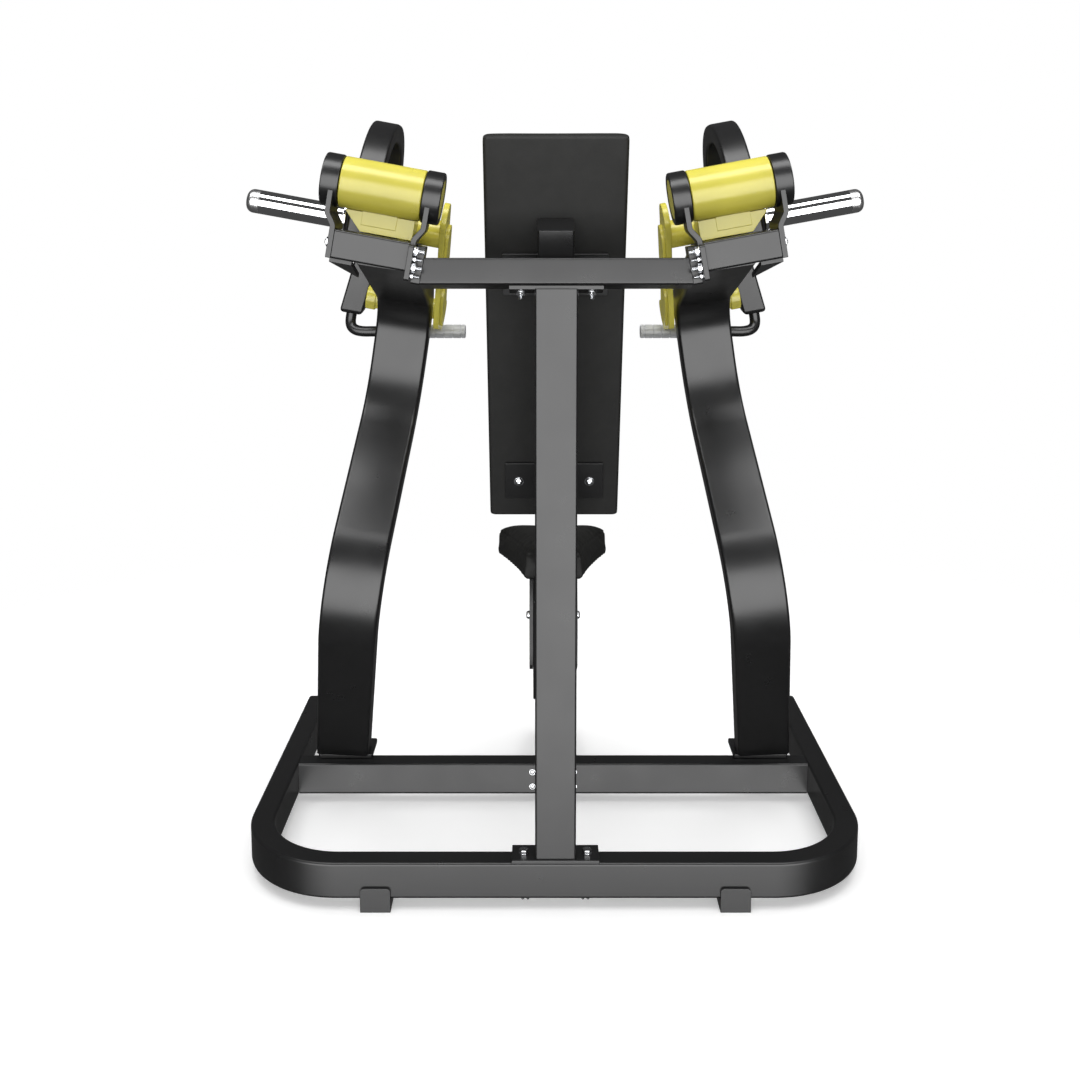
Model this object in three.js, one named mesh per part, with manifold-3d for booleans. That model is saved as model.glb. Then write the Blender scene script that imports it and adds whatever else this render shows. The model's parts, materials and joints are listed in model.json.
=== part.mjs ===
// Plate-loaded chest press machine.
//
// Frame: +Z up, +Y is the way the user faces, X = 0 is the plane of symmetry, Z = 0 is the floor.
// The origin is on the floor, half way between the rear and the front of the base.
// Lengths are millimetres. Inside the model Y is counted from the rear face of the base,
// and the top group moves everything back by half of the overall length.
import * as THREE from "three";
import { ConvexGeometry } from "three/addons/geometries/ConvexGeometry.js";
import { mergeVertices } from "three/addons/utils/BufferGeometryUtils.js";
import Module from "manifold-3d";

const wasm = await Module();
wasm.setup();

// ---- driving dimensions -------------------------------------------------------------------
const GAP = 0.3; // clearance between touching pieces
const BASE_HALF_WIDTH = 640;
const BASE_LENGTH = 840;
const BASE_TUBE = 50;
const BASE_BOTTOM = 25;
const BASE_TOP = 100;
const BASE_CORNER = 208;
const CROSSBAR_REAR = 438;
const EDGE_ROUND = 4;
const CLIP_CENTRE = 354;
const CLIP_WIDTH = 60;
const CLIP_PLATE = 6;
const PLATE = 8;
const POST_HALF_WIDTH = 40;
const POST_DEPTH = 50;
const BAR_TILT = 10;
const BAR_HEIGHT = 50;
const BAR_DEPTH = 75;
const BAR_REAR_BOTTOM = 1232.5;
const UPRIGHT_WIDTH = 120;
const UPRIGHT_THICKNESS = 55;
const UPRIGHT_LEAN = 8.7;
const UPRIGHT_OFFSET = 503; // centre plane of the upright, measured square to that plane
const UPRIGHT_PATH = [[483.6, 0], [135.5, 518.8], [490, 891], [490, 1092], [50.3, 1196]];
const UPRIGHT_RADII = [0, 207, 200, 90, 0];
const HEAD_LEAN = 10.3;
const PIVOT = [-320.5, 45, 1407];
const BLOCK_HALF = 70;
const BLOCK_TOP = -87;
const BLOCK_BOTTOM = -141;
const HEAD_PLATE = 10;
const HEAD_JOG = 14;
const HOUSING_RADIUS = 49;
const HOUSING_INNER = 77;
const HOUSING_OUTER = 111;
const TUBE_HALF = 76;
const TUBE_RADIUS = 47.5;
const SHAFT_RADIUS = 24.7;
const BORE_RADIUS = 25.6; // clears the shaft at the flats of the faceted bore too
const CAP_RADIUS = 38;
const CAP_RECESS = 5;
const FLANGE = 18;
const LUG_REAR = -68;
const LEVER_OUTER = -30;
const LEVER_INNER = 35;
const LEVER_TOP = -40;
const LEVER_BOTTOM = -100;
const LEVER_END = 290;
const ARCH_WIDTH = 54;
const ARCH_THICKNESS = 40;
const ARCH_ROOT = 211;
const ARCH_CENTRE = -59;
const ARCH_LEAN_OUT = 45; // how far the front leg leans outward from the bend to its lower end
const ARCH_RADIUS = 154;
const ARCH_LEG_END = [600, -300];
const HORN_RADIUS = 24;
const HORN_HEIGHT = -71;
const HORN_TIP = -294;
const SIDE_BAR_INNER = 104;
const SIDE_BAR_THICKNESS = 12;
const SIDE_BAR_WIDTH = 70;
const SIDE_BAR_PATH = [[165, -40], [290, -135], [425, -250], [548, -262]];
const FRONT_TUBE = [545, -252];
const HANDLE_RADIUS = 12.5;
const GRIP_RADIUS = 16;
const GRIP_LENGTH = 150;
const RECLINE = 18.9;
const PAD_FOOT = [0, 371, 703]; // middle of the lower edge of the pad's back face
const PAD_HALF_WIDTH = 140;
const PAD_LENGTH = 850;
const PAD_THICKNESS = 62;
const SPINE_HALF_WIDTH = 35;
const SPINE_DEPTH = 70;
const SPINE_TOP = 688;
const PAD_PLATE = 6;
const SLEEVE = { low: -440, high: -165, half: 46, wall: 9 };
const SEAT_REAR = [430, 542];
const SEAT_SLOPE = -4.95;
const SEAT_LENGTH = 336;
const SEAT_THICKNESS = 70;
const SEAT_BOLT = [492, 439];

// ---- finishes -----------------------------------------------------------------------------
const finish = (color, roughness, metalness) =>
  new THREE.MeshStandardMaterial({ color, roughness, metalness });
const BLACK = finish(0x1b1b1c, 0.45, 0.3);
const YELLOW = finish(0xd8cc3c, 0.4, 0.0);
const CHROME = finish(0xd9dadc, 0.12, 1.0);
const ZINC = finish(0xb9bcc0, 0.35, 0.9);
const GRIP = finish(0xb4b6b8, 0.5, 0.1);
const VINYL = finish(0x232321, 0.7, 0.0);
const RUBBER = finish(0x111111, 0.85, 0.0);

// ---- geometry helpers ---------------------------------------------------------------------
const rad = THREE.MathUtils.degToRad;
const vec = (x, y, z) => new THREE.Vector3(x, y, z);
const AXES = {
  x: new THREE.Matrix4().makeBasis(vec(0, 1, 0), vec(0, 0, 1), vec(1, 0, 0)),
  y: new THREE.Matrix4().makeBasis(vec(0, 0, 1), vec(1, 0, 0), vec(0, 1, 0)),
  z: new THREE.Matrix4(),
};

// A shape pushed along an axis from one position to another, its long edges rounded.
// The shape is drawn in (Y, Z) for axis x, in (Z, X) for axis y and in (X, Y) for axis z.
function pushed(shape, axis, from, to, round = 0, curveSegments = 8) {
  const geometry = new THREE.ExtrudeGeometry(shape, {
    depth: to - from - 2 * round,
    bevelEnabled: round > 0,
    bevelThickness: round,
    bevelSize: round,
    bevelOffset: -round,
    bevelSegments: 1,
    curveSegments,
  });
  geometry.translate(0, 0, from + round);
  return geometry.applyMatrix4(AXES[axis]);
}

function polygon(points) {
  return new THREE.Shape(points.map((p) => new THREE.Vector2(p[0], p[1])));
}

// A rectangle with rounded corners.
function rectangle(x0, x1, y0, y1, r = EDGE_ROUND) {
  const shape = new THREE.Shape();
  shape.moveTo(x0 + r, y0);
  shape.lineTo(x1 - r, y0);
  shape.absarc(x1 - r, y0 + r, r, -Math.PI / 2, 0, false);
  shape.absarc(x1 - r, y1 - r, r, 0, Math.PI / 2, false);
  shape.absarc(x0 + r, y1 - r, r, Math.PI / 2, Math.PI, false);
  shape.absarc(x0 + r, y0 + r, r, Math.PI, Math.PI * 1.5, false);
  return shape;
}

function disc(x, y, r, hole = 0) {
  const shape = new THREE.Shape();
  shape.absarc(x, y, r, 0, Math.PI * 2, false);
  if (hole > 0) {
    const inner = new THREE.Path();
    inner.absarc(x, y, hole, 0, Math.PI * 2, true);
    shape.holes.push(inner);
  }
  return shape;
}

// A body of revolution about an axis; the profile holds [radius, position] pairs.
function turned(profile, axis, segments = 24) {
  const points = profile.map((p) => new THREE.Vector2(p[0], p[1]));
  const geometry = new THREE.LatheGeometry(points, segments);
  geometry.rotateX(Math.PI / 2);
  if (axis === "x") geometry.rotateY(Math.PI / 2);
  if (axis === "y") geometry.rotateX(-Math.PI / 2);
  return geometry;
}

// The samples of a path with rounded corners: each holds a point and the normal on its left.
function filleted(points, radii, steps = 8) {
  const samples = [];
  const at = (p, n) => samples.push({ p, n });
  const v = points.map((p) => new THREE.Vector2(p[0], p[1]));
  const left = (d) => new THREE.Vector2(-d.y, d.x);
  for (let i = 0; i < v.length; i += 1) {
    const before = i > 0 ? v[i].clone().sub(v[i - 1]).normalize() : null;
    const after = i < v.length - 1 ? v[i + 1].clone().sub(v[i]).normalize() : null;
    if (!before || !after) {
      at(v[i], left(before ?? after));
      continue;
    }
    const turn = before.cross(after) > 0 ? 1 : -1;
    const angle = Math.acos(before.dot(after));
    const tangent = radii[i] * Math.tan(angle / 2);
    const start = v[i].clone().addScaledVector(before, -tangent);
    const centre = start.clone().addScaledVector(left(before), turn * radii[i]);
    const from = start.clone().sub(centre);
    for (let k = 0; k <= steps; k += 1) {
      const p = from.clone().rotateAround(new THREE.Vector2(), (turn * angle * k) / steps);
      const n = p.clone().multiplyScalar(-turn / radii[i]);
      at(p.add(centre), n);
    }
  }
  return samples;
}

// A band that follows a path, reaching `left` and `right` of it.
function band(points, radii, left, right, roundEnds = false, steps = 8) {
  const samples = filleted(points, radii, steps);
  const side = (distance) => samples.map(({ p, n }) => p.clone().addScaledVector(n, distance));
  const cap = (sample, sign) => {
    const out = [];
    const middle = sample.p.clone().addScaledVector(sample.n, (left - right) / 2);
    for (let k = 1; k < 6; k += 1) {
      const arm = sample.n.clone().multiplyScalar((sign * (left + right)) / 2);
      out.push(arm.rotateAround(new THREE.Vector2(), -(Math.PI * k) / 6).add(middle));
    }
    return out;
  };
  const ends = roundEnds
    ? [cap(samples[samples.length - 1], 1), cap(samples[0], -1)]
    : [[], []];
  return new THREE.Shape([...side(left), ...ends[0], ...side(-right).reverse(), ...ends[1]]);
}

function toSolid(geometry) {
  const bare = geometry.clone();
  for (const name of ["normal", "uv"]) bare.deleteAttribute(name);
  const merged = mergeVertices(bare, 1e-4);
  return new wasm.Manifold(new wasm.Mesh({
    numProp: 3,
    vertProperties: Float32Array.from(merged.attributes.position.array),
    triVerts: Uint32Array.from(merged.index.array),
  }));
}

function toGeometry(solid) {
  const { vertProperties, triVerts } = solid.getMesh();
  const geometry = new THREE.BufferGeometry();
  geometry.setAttribute("position", new THREE.BufferAttribute(vertProperties, 3));
  geometry.setIndex(new THREE.BufferAttribute(triVerts, 1));
  return geometry;
}

const joined = (...parts) => toGeometry(parts.map(toSolid).reduce((a, b) => a.add(b)));
const cut = (body, ...tools) => toGeometry(tools.map(toSolid).reduce((a, b) => a.subtract(b), toSolid(body)));

// The same geometry on the other side of X = 0.
function flipped(geometry) {
  const copy = geometry.index ? geometry.toNonIndexed() : geometry.clone();
  const position = copy.attributes.position;
  for (let i = 0; i < position.count; i += 3) {
    const corner = [0, 2, 1].map((k) => vec(0, 0, 0).fromBufferAttribute(position, i + k));
    corner.forEach((c, k) => position.setXYZ(i + k, -c.x, c.y, c.z));
  }
  copy.deleteAttribute("normal");
  return copy;
}

// Moves every vertex by a rule that gets and changes a vector.
function reshaped(geometry, rule) {
  const position = geometry.attributes.position;
  const point = vec(0, 0, 0);
  for (let i = 0; i < position.count; i += 1) {
    point.fromBufferAttribute(position, i);
    rule(point);
    position.setXYZ(i, point.x, point.y, point.z);
  }
  return geometry;
}

const machine = new THREE.Group();
machine.position.y = -(BASE_LENGTH - CLIP_PLATE - GAP) / 2;

function add(parent, name, geometry, material) {
  const mesh = new THREE.Mesh(geometry, material);
  mesh.name = name;
  parent.add(mesh);
  return mesh;
}

// A frame of its own for one side: "l" is at -X and "r" is its mirror image.
function sideFrame(side, position, lean) {
  const sign = side === "l" ? 1 : -1;
  const frame = new THREE.Group();
  frame.position.set(sign * position[0], position[1], position[2]);
  frame.rotation.y = sign * rad(lean);
  machine.add(frame);
  return (name, geometry, material) =>
    add(frame, `${name}_${side}`, side === "l" ? geometry : flipped(geometry), material);
}

// ---- base ---------------------------------------------------------------------------------
function baseFrame() {
  const w = BASE_HALF_WIDTH;
  const r = BASE_CORNER;
  const inner = r - BASE_TUBE;
  const shape = new THREE.Shape();
  shape.moveTo(-w, BASE_LENGTH);
  shape.lineTo(-w, r);
  shape.absarc(-w + r, r, r, Math.PI, Math.PI * 1.5, false);
  shape.absarc(w - r, r, r, Math.PI * 1.5, Math.PI * 2, false);
  shape.lineTo(w, BASE_LENGTH);
  shape.lineTo(w - BASE_TUBE, BASE_LENGTH);
  shape.absarc(w - r, r, inner, Math.PI * 2, Math.PI * 1.5, true);
  shape.absarc(-w + r, r, inner, Math.PI * 1.5, Math.PI, true);
  shape.lineTo(-w + BASE_TUBE, BASE_LENGTH);
  return pushed(shape, "z", BASE_BOTTOM, BASE_TOP, EDGE_ROUND, 8);
}

function crossbar() {
  const end = BASE_HALF_WIDTH - BASE_TUBE - GAP;
  const shape = rectangle(CROSSBAR_REAR, CROSSBAR_REAR + BASE_TUBE, BASE_BOTTOM, BASE_TOP);
  return pushed(shape, "x", -end, end, 0, 2);
}

function centreBeam() {
  const shape = rectangle(-POST_HALF_WIDTH, POST_HALF_WIDTH, BASE_BOTTOM, BASE_TOP);
  const turn = polygon(shape.getPoints(2).map((p) => [p.y, p.x]).reverse());
  return pushed(turn, "y", CROSSBAR_REAR + BASE_TUBE + GAP, BASE_LENGTH);
}

// A steel foot clip: a flange on the rear face of the bar and a block under it.
function footClip() {
  const flange = new THREE.Shape();
  const h = CLIP_WIDTH / 2;
  flange.moveTo(0, -h);
  flange.lineTo(50 - 8, -h);
  flange.absarc(50 - 8, -h + 8, 8, -Math.PI / 2, 0, false);
  flange.absarc(50 - 8, h - 8, 8, 0, Math.PI / 2, false);
  flange.lineTo(0, h);
  const plate = pushed(flange, "y", -CLIP_PLATE - GAP, -GAP, 0, 4);
  const block = pushed(rectangle(-3, BASE_TUBE + 2, 0, BASE_BOTTOM - GAP, 1), "x", -h, h, 0, 2);
  return joined(plate, block);
}

function block(x, y, z) {
  const geometry = new THREE.BoxGeometry(x[1] - x[0], y[1] - y[0], z[1] - z[0]);
  return geometry.translate((x[0] + x[1]) / 2, (y[0] + y[1]) / 2, (z[0] + z[1]) / 2);
}

function buildBase() {
  const rail = [BASE_HALF_WIDTH - BASE_TUBE, BASE_HALF_WIDTH];
  const footTop = BASE_BOTTOM - GAP;
  add(machine, "base_frame", baseFrame(), BLACK);
  add(machine, "base_crossbar", crossbar(), BLACK);
  add(machine, "centre_beam", centreBeam(), BLACK);
  add(machine, "front_foot", pushed(rectangle(-42, 42, 775, 838), "z", 0, footTop, 0, 2), RUBBER);
  for (const [side, sign] of [["l", -1], ["r", 1]]) {
    const across = rail.map((x) => sign * x).sort((a, b) => a - b);
    add(machine, `rear_foot_clip_${side}`, footClip(), BLACK).position.x = sign * CLIP_CENTRE;
    const foot = rectangle(across[0] + 1, across[1] - 1, 765, 835);
    add(machine, `front_rail_foot_${side}`, pushed(foot, "z", 0, footTop, 0, 2), RUBBER);
  }
}

// ---- rear post and top bar ----------------------------------------------------------------
const slope = Math.tan(rad(BAR_TILT));
const underBar = (y, drop) => BAR_REAR_BOTTOM - y * slope - drop / Math.cos(rad(BAR_TILT));

function post() {
  const foot = BASE_TOP + GAP + PLATE + GAP;
  const drop = PLATE + 2 * GAP;
  const side = [[0, foot], [POST_DEPTH, foot], [POST_DEPTH, underBar(POST_DEPTH, drop)], [0, underBar(0, drop)]];
  return pushed(polygon(side), "x", -POST_HALF_WIDTH, POST_HALF_WIDTH, 3);
}

function postTopPlate() {
  const [y0, y1] = [8, 66];
  const low = GAP + PLATE;
  const side = [[y0, underBar(y0, low)], [y1, underBar(y1, low)], [y1, underBar(y1, GAP)], [y0, underBar(y0, GAP)]];
  return pushed(polygon(side), "x", -88, 88);
}

// The tilted top bar runs between two planes that lean like the heads it is bolted to.
function topBar() {
  const tilt = -rad(BAR_TILT);
  const section = rectangle(0, BAR_DEPTH, 0, BAR_HEIGHT).getPoints(2).map((p) => {
    const q = p.clone().rotateAround(new THREE.Vector2(), tilt);
    return [q.x, q.y + BAR_REAR_BOTTOM];
  });
  const lean = rad(HEAD_LEAN);
  const reach = BLOCK_HALF + HEAD_PLATE + FLANGE + 3 * GAP;
  return reshaped(pushed(polygon(section), "x", -1, 1), (p) => {
    const w = reach - (p.z - PIVOT[2]) * -Math.sin(lean);
    p.x *= -PIVOT[0] - w / Math.cos(lean);
  });
}

function buildPostAndBar() {
  const plate = block([-86, 86], [-5, 57], [BASE_TOP + GAP, BASE_TOP + GAP + PLATE]);
  add(machine, "post_base_plate", plate, BLACK);
  add(machine, "rear_post", post(), BLACK);
  add(machine, "post_top_plate", postTopPlate(), BLACK);
  add(machine, "top_bar", topBar(), BLACK);
}

// ---- uprights -----------------------------------------------------------------------------
// The S-curved flat tube in its own leaning frame; its foot is cut level with the floor.
function upright() {
  const shape = band(UPRIGHT_PATH, UPRIGHT_RADII, 0, UPRIGHT_THICKNESS, false, 7);
  const points = shape.getPoints();
  const last = UPRIGHT_PATH[UPRIGHT_PATH.length - 1];
  const prior = UPRIGHT_PATH[UPRIGHT_PATH.length - 2];
  const rise = Math.atan2(last[1] - prior[1], prior[0] - last[0]);
  const top = points.findIndex((p) => Math.abs(p.x - last[0]) < 1e-6 && Math.abs(p.y - last[1]) < 1e-6);
  points[top + 1].set(last[0], last[1] + UPRIGHT_THICKNESS / Math.cos(rise));
  const half = UPRIGHT_WIDTH / 2;
  const geometry = pushed(new THREE.Shape(points), "x", -UPRIGHT_OFFSET - half, -UPRIGHT_OFFSET + half, 5);
  const lean = rad(UPRIGHT_LEAN);
  const foot = BASE_TOP + 2 * GAP + 10;
  const [a, b] = UPRIGHT_PATH;
  const run = (b[0] - a[0]) / (b[1] - a[1]);
  return reshaped(geometry, (p) => {
    if (p.z > 60) return;
    const level = (foot + p.x * Math.sin(lean)) / Math.cos(lean);
    p.y += (level - p.z) * run;
    p.z = level;
  });
}

function buildUprights(side) {
  const sign = side === "l" ? -1 : 1;
  const put = sideFrame(side, [0, 0, 0], UPRIGHT_LEAN);
  put("upright", upright(), BLACK);
  const across = [sign * 422, sign * 548].sort((a, b) => a - b);
  const foot = rectangle(across[0], across[1], CROSSBAR_REAR + 28, 556);
  add(machine, `upright_foot_plate_${side}`, pushed(foot, "z", BASE_TOP + GAP, BASE_TOP + GAP + 10, 0, 1), BLACK);
}

// ---- heads: the frame has X along the pivot axis, towards the middle of the machine ----------
// A jogged plate with its bearing housing; `sign` is -1 for the outer one and 1 for the inner one,
// whose lower part stops short of the upright and reaches back as a lug for the bolts.
function headPlate(sign) {
  const x0 = BLOCK_HALF;
  const x1 = BLOCK_HALF + HEAD_PLATE;
  const upper = [
    [-78, x0], [-58, x0 + HEAD_JOG], [0, x0 + HEAD_JOG],
    [0, x1 + HEAD_JOG], [-62, x1 + HEAD_JOG], [-78, x1 + 3.8],
  ];
  const lower = [[BLOCK_BOTTOM, x0], [-78, x0], [-78, x1 + 3.8], [-84, x1], [BLOCK_BOTTOM, x1]];
  const strip = (side, front) =>
    pushed(polygon(side.map(([z, x]) => [z, sign * x])), "y", -PIVOT[1], front);
  const lowerFront = sign < 0 ? PIVOT[1] : POST_DEPTH - PIVOT[1] - GAP;
  const range = [sign * HOUSING_INNER, sign * HOUSING_OUTER].sort((a, b) => a - b);
  const pieces = [
    strip(upper, PIVOT[1]),
    strip(lower, lowerFront),
    pushed(disc(0, 0, HOUSING_RADIUS), "x", range[0], range[1], 3, 14),
  ];
  if (sign > 0) {
    pieces.push(pushed(rectangle(LUG_REAR, lowerFront, -156, -90, 5), "x", x0, x1, 0, 2));
  }
  const face = [sign * (HOUSING_OUTER - CAP_RECESS), sign * (HOUSING_OUTER + 5)].sort((a, b) => a - b);
  const recess = pushed(disc(0, 0, CAP_RADIUS + 1), "x", face[0], face[1], 0, 14);
  const bore = pushed(disc(0, 0, BORE_RADIUS), "x", -130, 130, 0, 10);
  return cut(joined(...pieces), bore, recess);
}

// The triangular web between the outer plate, the block and the upright, under the head.
function headGusset() {
  const bottom = [[-80, 6], [-37, 6], [-37, 130]];
  const points = bottom.flatMap(([x, y]) => {
    const z = BLOCK_BOTTOM - GAP - 0.24 * (y - 6);
    return [vec(x, y, z), vec(x, y, z - 10)];
  });
  return new ConvexGeometry(points);
}

function buildHead(side) {
  const put = sideFrame(side, PIVOT, HEAD_LEAN);
  const cross = rectangle(-PIVOT[1], POST_DEPTH - PIVOT[1], BLOCK_BOTTOM, BLOCK_TOP, 5);
  put("head_block", pushed(cross, "x", -BLOCK_HALF + GAP, BLOCK_HALF - GAP, 0, 2), BLACK);
  put("head_plate_outer", headPlate(-1), BLACK);
  put("head_plate_inner", headPlate(1), BLACK);
  put("head_gusset", headGusset(), BLACK);
  const from = BLOCK_HALF + HEAD_PLATE + GAP;
  const flange = rectangle(-38, POST_DEPTH - PIVOT[1] - GAP, -162, -90, 5);
  put("top_bar_flange", pushed(flange, "x", from, from + FLANGE, 0, 2), BLACK);
  put("rest_stop", restStop(), RUBBER);
}

// A rubber buffer between the top of the upright and the lever.
function restStop() {
  const top = LEVER_BOTTOM - GAP;
  return reshaped(pushed(disc(0, 140, 15), "z", -110, top, 0, 8), (p) => {
    if (p.z < -109) p.z = -117.2 - 0.2365 * (p.y - 140) + 0.028 * p.x;
  });
}

// ---- arms ---------------------------------------------------------------------------------
function lever() {
  const seat = TUBE_RADIUS + GAP;
  const shape = new THREE.Shape();
  shape.absarc(0, 0, seat, rad(-100), rad(-12), false);
  shape.lineTo(120, LEVER_TOP);
  shape.lineTo(LEVER_END, LEVER_TOP);
  shape.lineTo(LEVER_END, LEVER_BOTTOM);
  shape.lineTo(120, LEVER_BOTTOM);
  shape.lineTo(70, -92);
  shape.lineTo(22, -82);
  shape.lineTo(-8, -72);
  const web = pushed(shape, "x", LEVER_OUTER, LEVER_INNER, 0, 8);
  const wings = polygon([[-seat - 0.5, -64], [-seat - 0.5, 68], [-85, 68], [-85, -30]]);
  return joined(web, pushed(wings, "y", -7, 62));
}

function archTube() {
  const samples = [];
  const half = ARCH_THICKNESS / 2;
  const centre = [ARCH_ROOT + ARCH_RADIUS, -35];
  const steps = 14;
  const side = (radius) => {
    const out = [];
    for (let k = 0; k <= steps; k += 1) {
      const angle = Math.PI * (1 - k / steps);
      out.push([centre[0] + radius * Math.cos(angle), centre[1] + radius * Math.sin(angle)]);
    }
    return out;
  };
  const [endY, endZ] = ARCH_LEG_END;
  samples.push([ARCH_ROOT - half, LEVER_BOTTOM - 8]);
  samples.push(...side(ARCH_RADIUS + half));
  samples.push([endY + half, endZ + 14], [endY + half - 14, endZ]);
  samples.push([endY - half + 14, endZ], [endY - half, endZ + 14]);
  samples.push(...side(ARCH_RADIUS - half).reverse());
  samples.push([ARCH_ROOT + half, LEVER_BOTTOM - 8]);
  const shape = polygon(samples.map(([y, z]) => [y - ARCH_ROOT, z]).reverse());
  const far = 2 * ARCH_RADIUS - half - 1;
  return reshaped(pushed(shape, "x", -ARCH_WIDTH / 2, ARCH_WIDTH / 2, 4), (p) => {
    if (p.y > far) p.x -= (ARCH_LEAN_OUT * Math.max(0, centre[1] - p.z)) / (centre[1] - endZ);
  });
}

function weightHorn() {
  const root = ARCH_CENTRE - ARCH_WIDTH / 2 - 2.4;
  const r = HORN_RADIUS;
  const profile = [
    [0, -root], [36, -root], [36, -root + 6], [r, -root + 8], [r, -HORN_TIP - 6],
    [r - 2, -HORN_TIP - 2], [r - 6, -HORN_TIP], [0, -HORN_TIP],
  ];
  return turned(profile, "x", 20).rotateZ(Math.PI).translate(0, ARCH_ROOT, HORN_HEIGHT);
}

// The flat side bar from the lever to the handle, with two raised pads on its inner face.
function sideBar() {
  const half = SIDE_BAR_WIDTH / 2;
  const face = SIDE_BAR_INNER + SIDE_BAR_THICKNESS;
  const bar = pushed(
    band(SIDE_BAR_PATH, [0, 60, 60, 0], half, half, true, 4), "x", SIDE_BAR_INNER, face, 2);
  const [, b, c, d] = SIDE_BAR_PATH;
  const near = (p, q, t) => [p[0] + (q[0] - p[0]) * t, p[1] + (q[1] - p[1]) * t];
  const pads = [
    band([near(SIDE_BAR_PATH[0], b, 0.35), near(SIDE_BAR_PATH[0], b, 0.95)], [0, 0], 26, 26, true),
    band([near(b, c, 0.55), near(c, d, 0.2)], [0, 0], 26, 26, true),
  ].map((shape) => pushed(shape, "x", face - 1, face + 6, 1.5));
  return joined(bar, ...pads);
}

function rod(y, z, radius, from, to, segments = 12) {
  return pushed(disc(y, z, radius), "x", from, to, 0, segments);
}

// The bent handle tube: down out of the arch leg, forward and inward, then level along the grip.
const HANDLE_LEAN = rad(HEAD_LEAN);
const GRIP_START = [22.4, 585, -322];

function handleTube() {
  const along = vec(Math.cos(HANDLE_LEAN), 0, Math.sin(HANDLE_LEAN));
  const start = vec(...GRIP_START);
  const end = start.clone().addScaledVector(along, GRIP_LENGTH);
  const corner = start.clone().addScaledVector(along, -88);
  const path = new THREE.CurvePath();
  const top = vec(ARCH_CENTRE - ARCH_LEAN_OUT, ARCH_LEG_END[0], ARCH_LEG_END[1] - GAP);
  const drop = top.clone().add(vec(0, 0, -10));
  path.add(new THREE.LineCurve3(top, drop));
  const bend = corner.clone().addScaledVector(along, -30);
  bend.z -= 2;
  const away = corner.clone().addScaledVector(along, 14);
  path.add(new THREE.CubicBezierCurve3(drop, drop.clone().add(vec(0, 0, -26)), bend, away));
  path.add(new THREE.LineCurve3(away, end));
  const ring = disc(0, 0, HANDLE_RADIUS);
  return new THREE.ExtrudeGeometry(ring, { steps: 16, extrudePath: path, curveSegments: 6 });
}

function grip() {
  const profile = [[HANDLE_RADIUS + GAP, 0], [GRIP_RADIUS, 0]];
  for (let x = 20; x < GRIP_LENGTH - 8; x += 20) {
    profile.push([GRIP_RADIUS, x - 1.3], [GRIP_RADIUS - 1.2, x - 0.7]);
    profile.push([GRIP_RADIUS - 1.2, x + 0.7], [GRIP_RADIUS, x + 1.3]);
  }
  profile.push([GRIP_RADIUS, GRIP_LENGTH], [HANDLE_RADIUS + GAP, GRIP_LENGTH]);
  profile.push([HANDLE_RADIUS + GAP, 0]);
  const geometry = turned(profile, "x", 12).rotateY(-HANDLE_LEAN);
  return geometry.translate(...GRIP_START);
}

function frontCrossTube() {
  const [y, z] = FRONT_TUBE;
  const from = -66;
  const profile = [
    [0, from], [27, from], [27, from + 22], [23.5, from + 24],
    [23.5, SIDE_BAR_INNER - GAP], [0, SIDE_BAR_INNER - GAP],
  ];
  return turned(profile, "x", 16).translate(0, y, z);
}

function pivotShaft() {
  const cap = HOUSING_OUTER - CAP_RECESS + GAP;
  const r = CAP_RADIUS;
  const side = [[0, -cap - 3.7], [r - 1.5, -cap - 3.7], [r, -cap - 2.2], [r, -cap], [SHAFT_RADIUS, -cap]];
  const other = side.map(([r, x]) => [r, -x]).reverse();
  return turned([...side, ...other], "x", 20);
}

function buildArm(side) {
  const put = sideFrame(side, PIVOT, HEAD_LEAN);
  const tube = pushed(disc(0, 0, TUBE_RADIUS, BORE_RADIUS), "x", -TUBE_HALF, TUBE_HALF, 0, 12);
  put("pivot_tube", tube, YELLOW);
  put("pivot_shaft", pivotShaft(), YELLOW);
  put("arm_lever", lever(), YELLOW);
  put("arm_cross_tube", rod(200, -70, 28, LEVER_INNER + GAP, SIDE_BAR_INNER - GAP, 8), YELLOW);
  put("arm_side_bar", sideBar(), YELLOW);
  put("arm_front_tube", frontCrossTube(), YELLOW);
  const arch = archTube().translate(ARCH_CENTRE, ARCH_ROOT, 0);
  put("arm_arch", arch, BLACK);
  put("weight_horn", weightHorn(), CHROME);
  put("handle_tube", handleTube(), BLACK);
  put("handle_grip", grip(), GRIP);
}

// ---- pad, spine and seat --------------------------------------------------------------------
const recline = new THREE.Group();
recline.position.set(...PAD_FOOT);
recline.rotation.x = rad(RECLINE);
machine.add(recline);

function spine() {
  const rear = -PAD_PLATE - 2 * GAP - SPINE_DEPTH;
  const front = rear + SPINE_DEPTH;
  const foot = (y) => (BASE_TOP + GAP - PAD_FOOT[2] - y * Math.sin(rad(RECLINE))) / Math.cos(rad(RECLINE));
  const side = [[rear, foot(rear)], [front, foot(front)], [front, SPINE_TOP], [rear, SPINE_TOP]];
  return pushed(polygon(side), "x", -SPINE_HALF_WIDTH, SPINE_HALF_WIDTH, 3);
}

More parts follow.
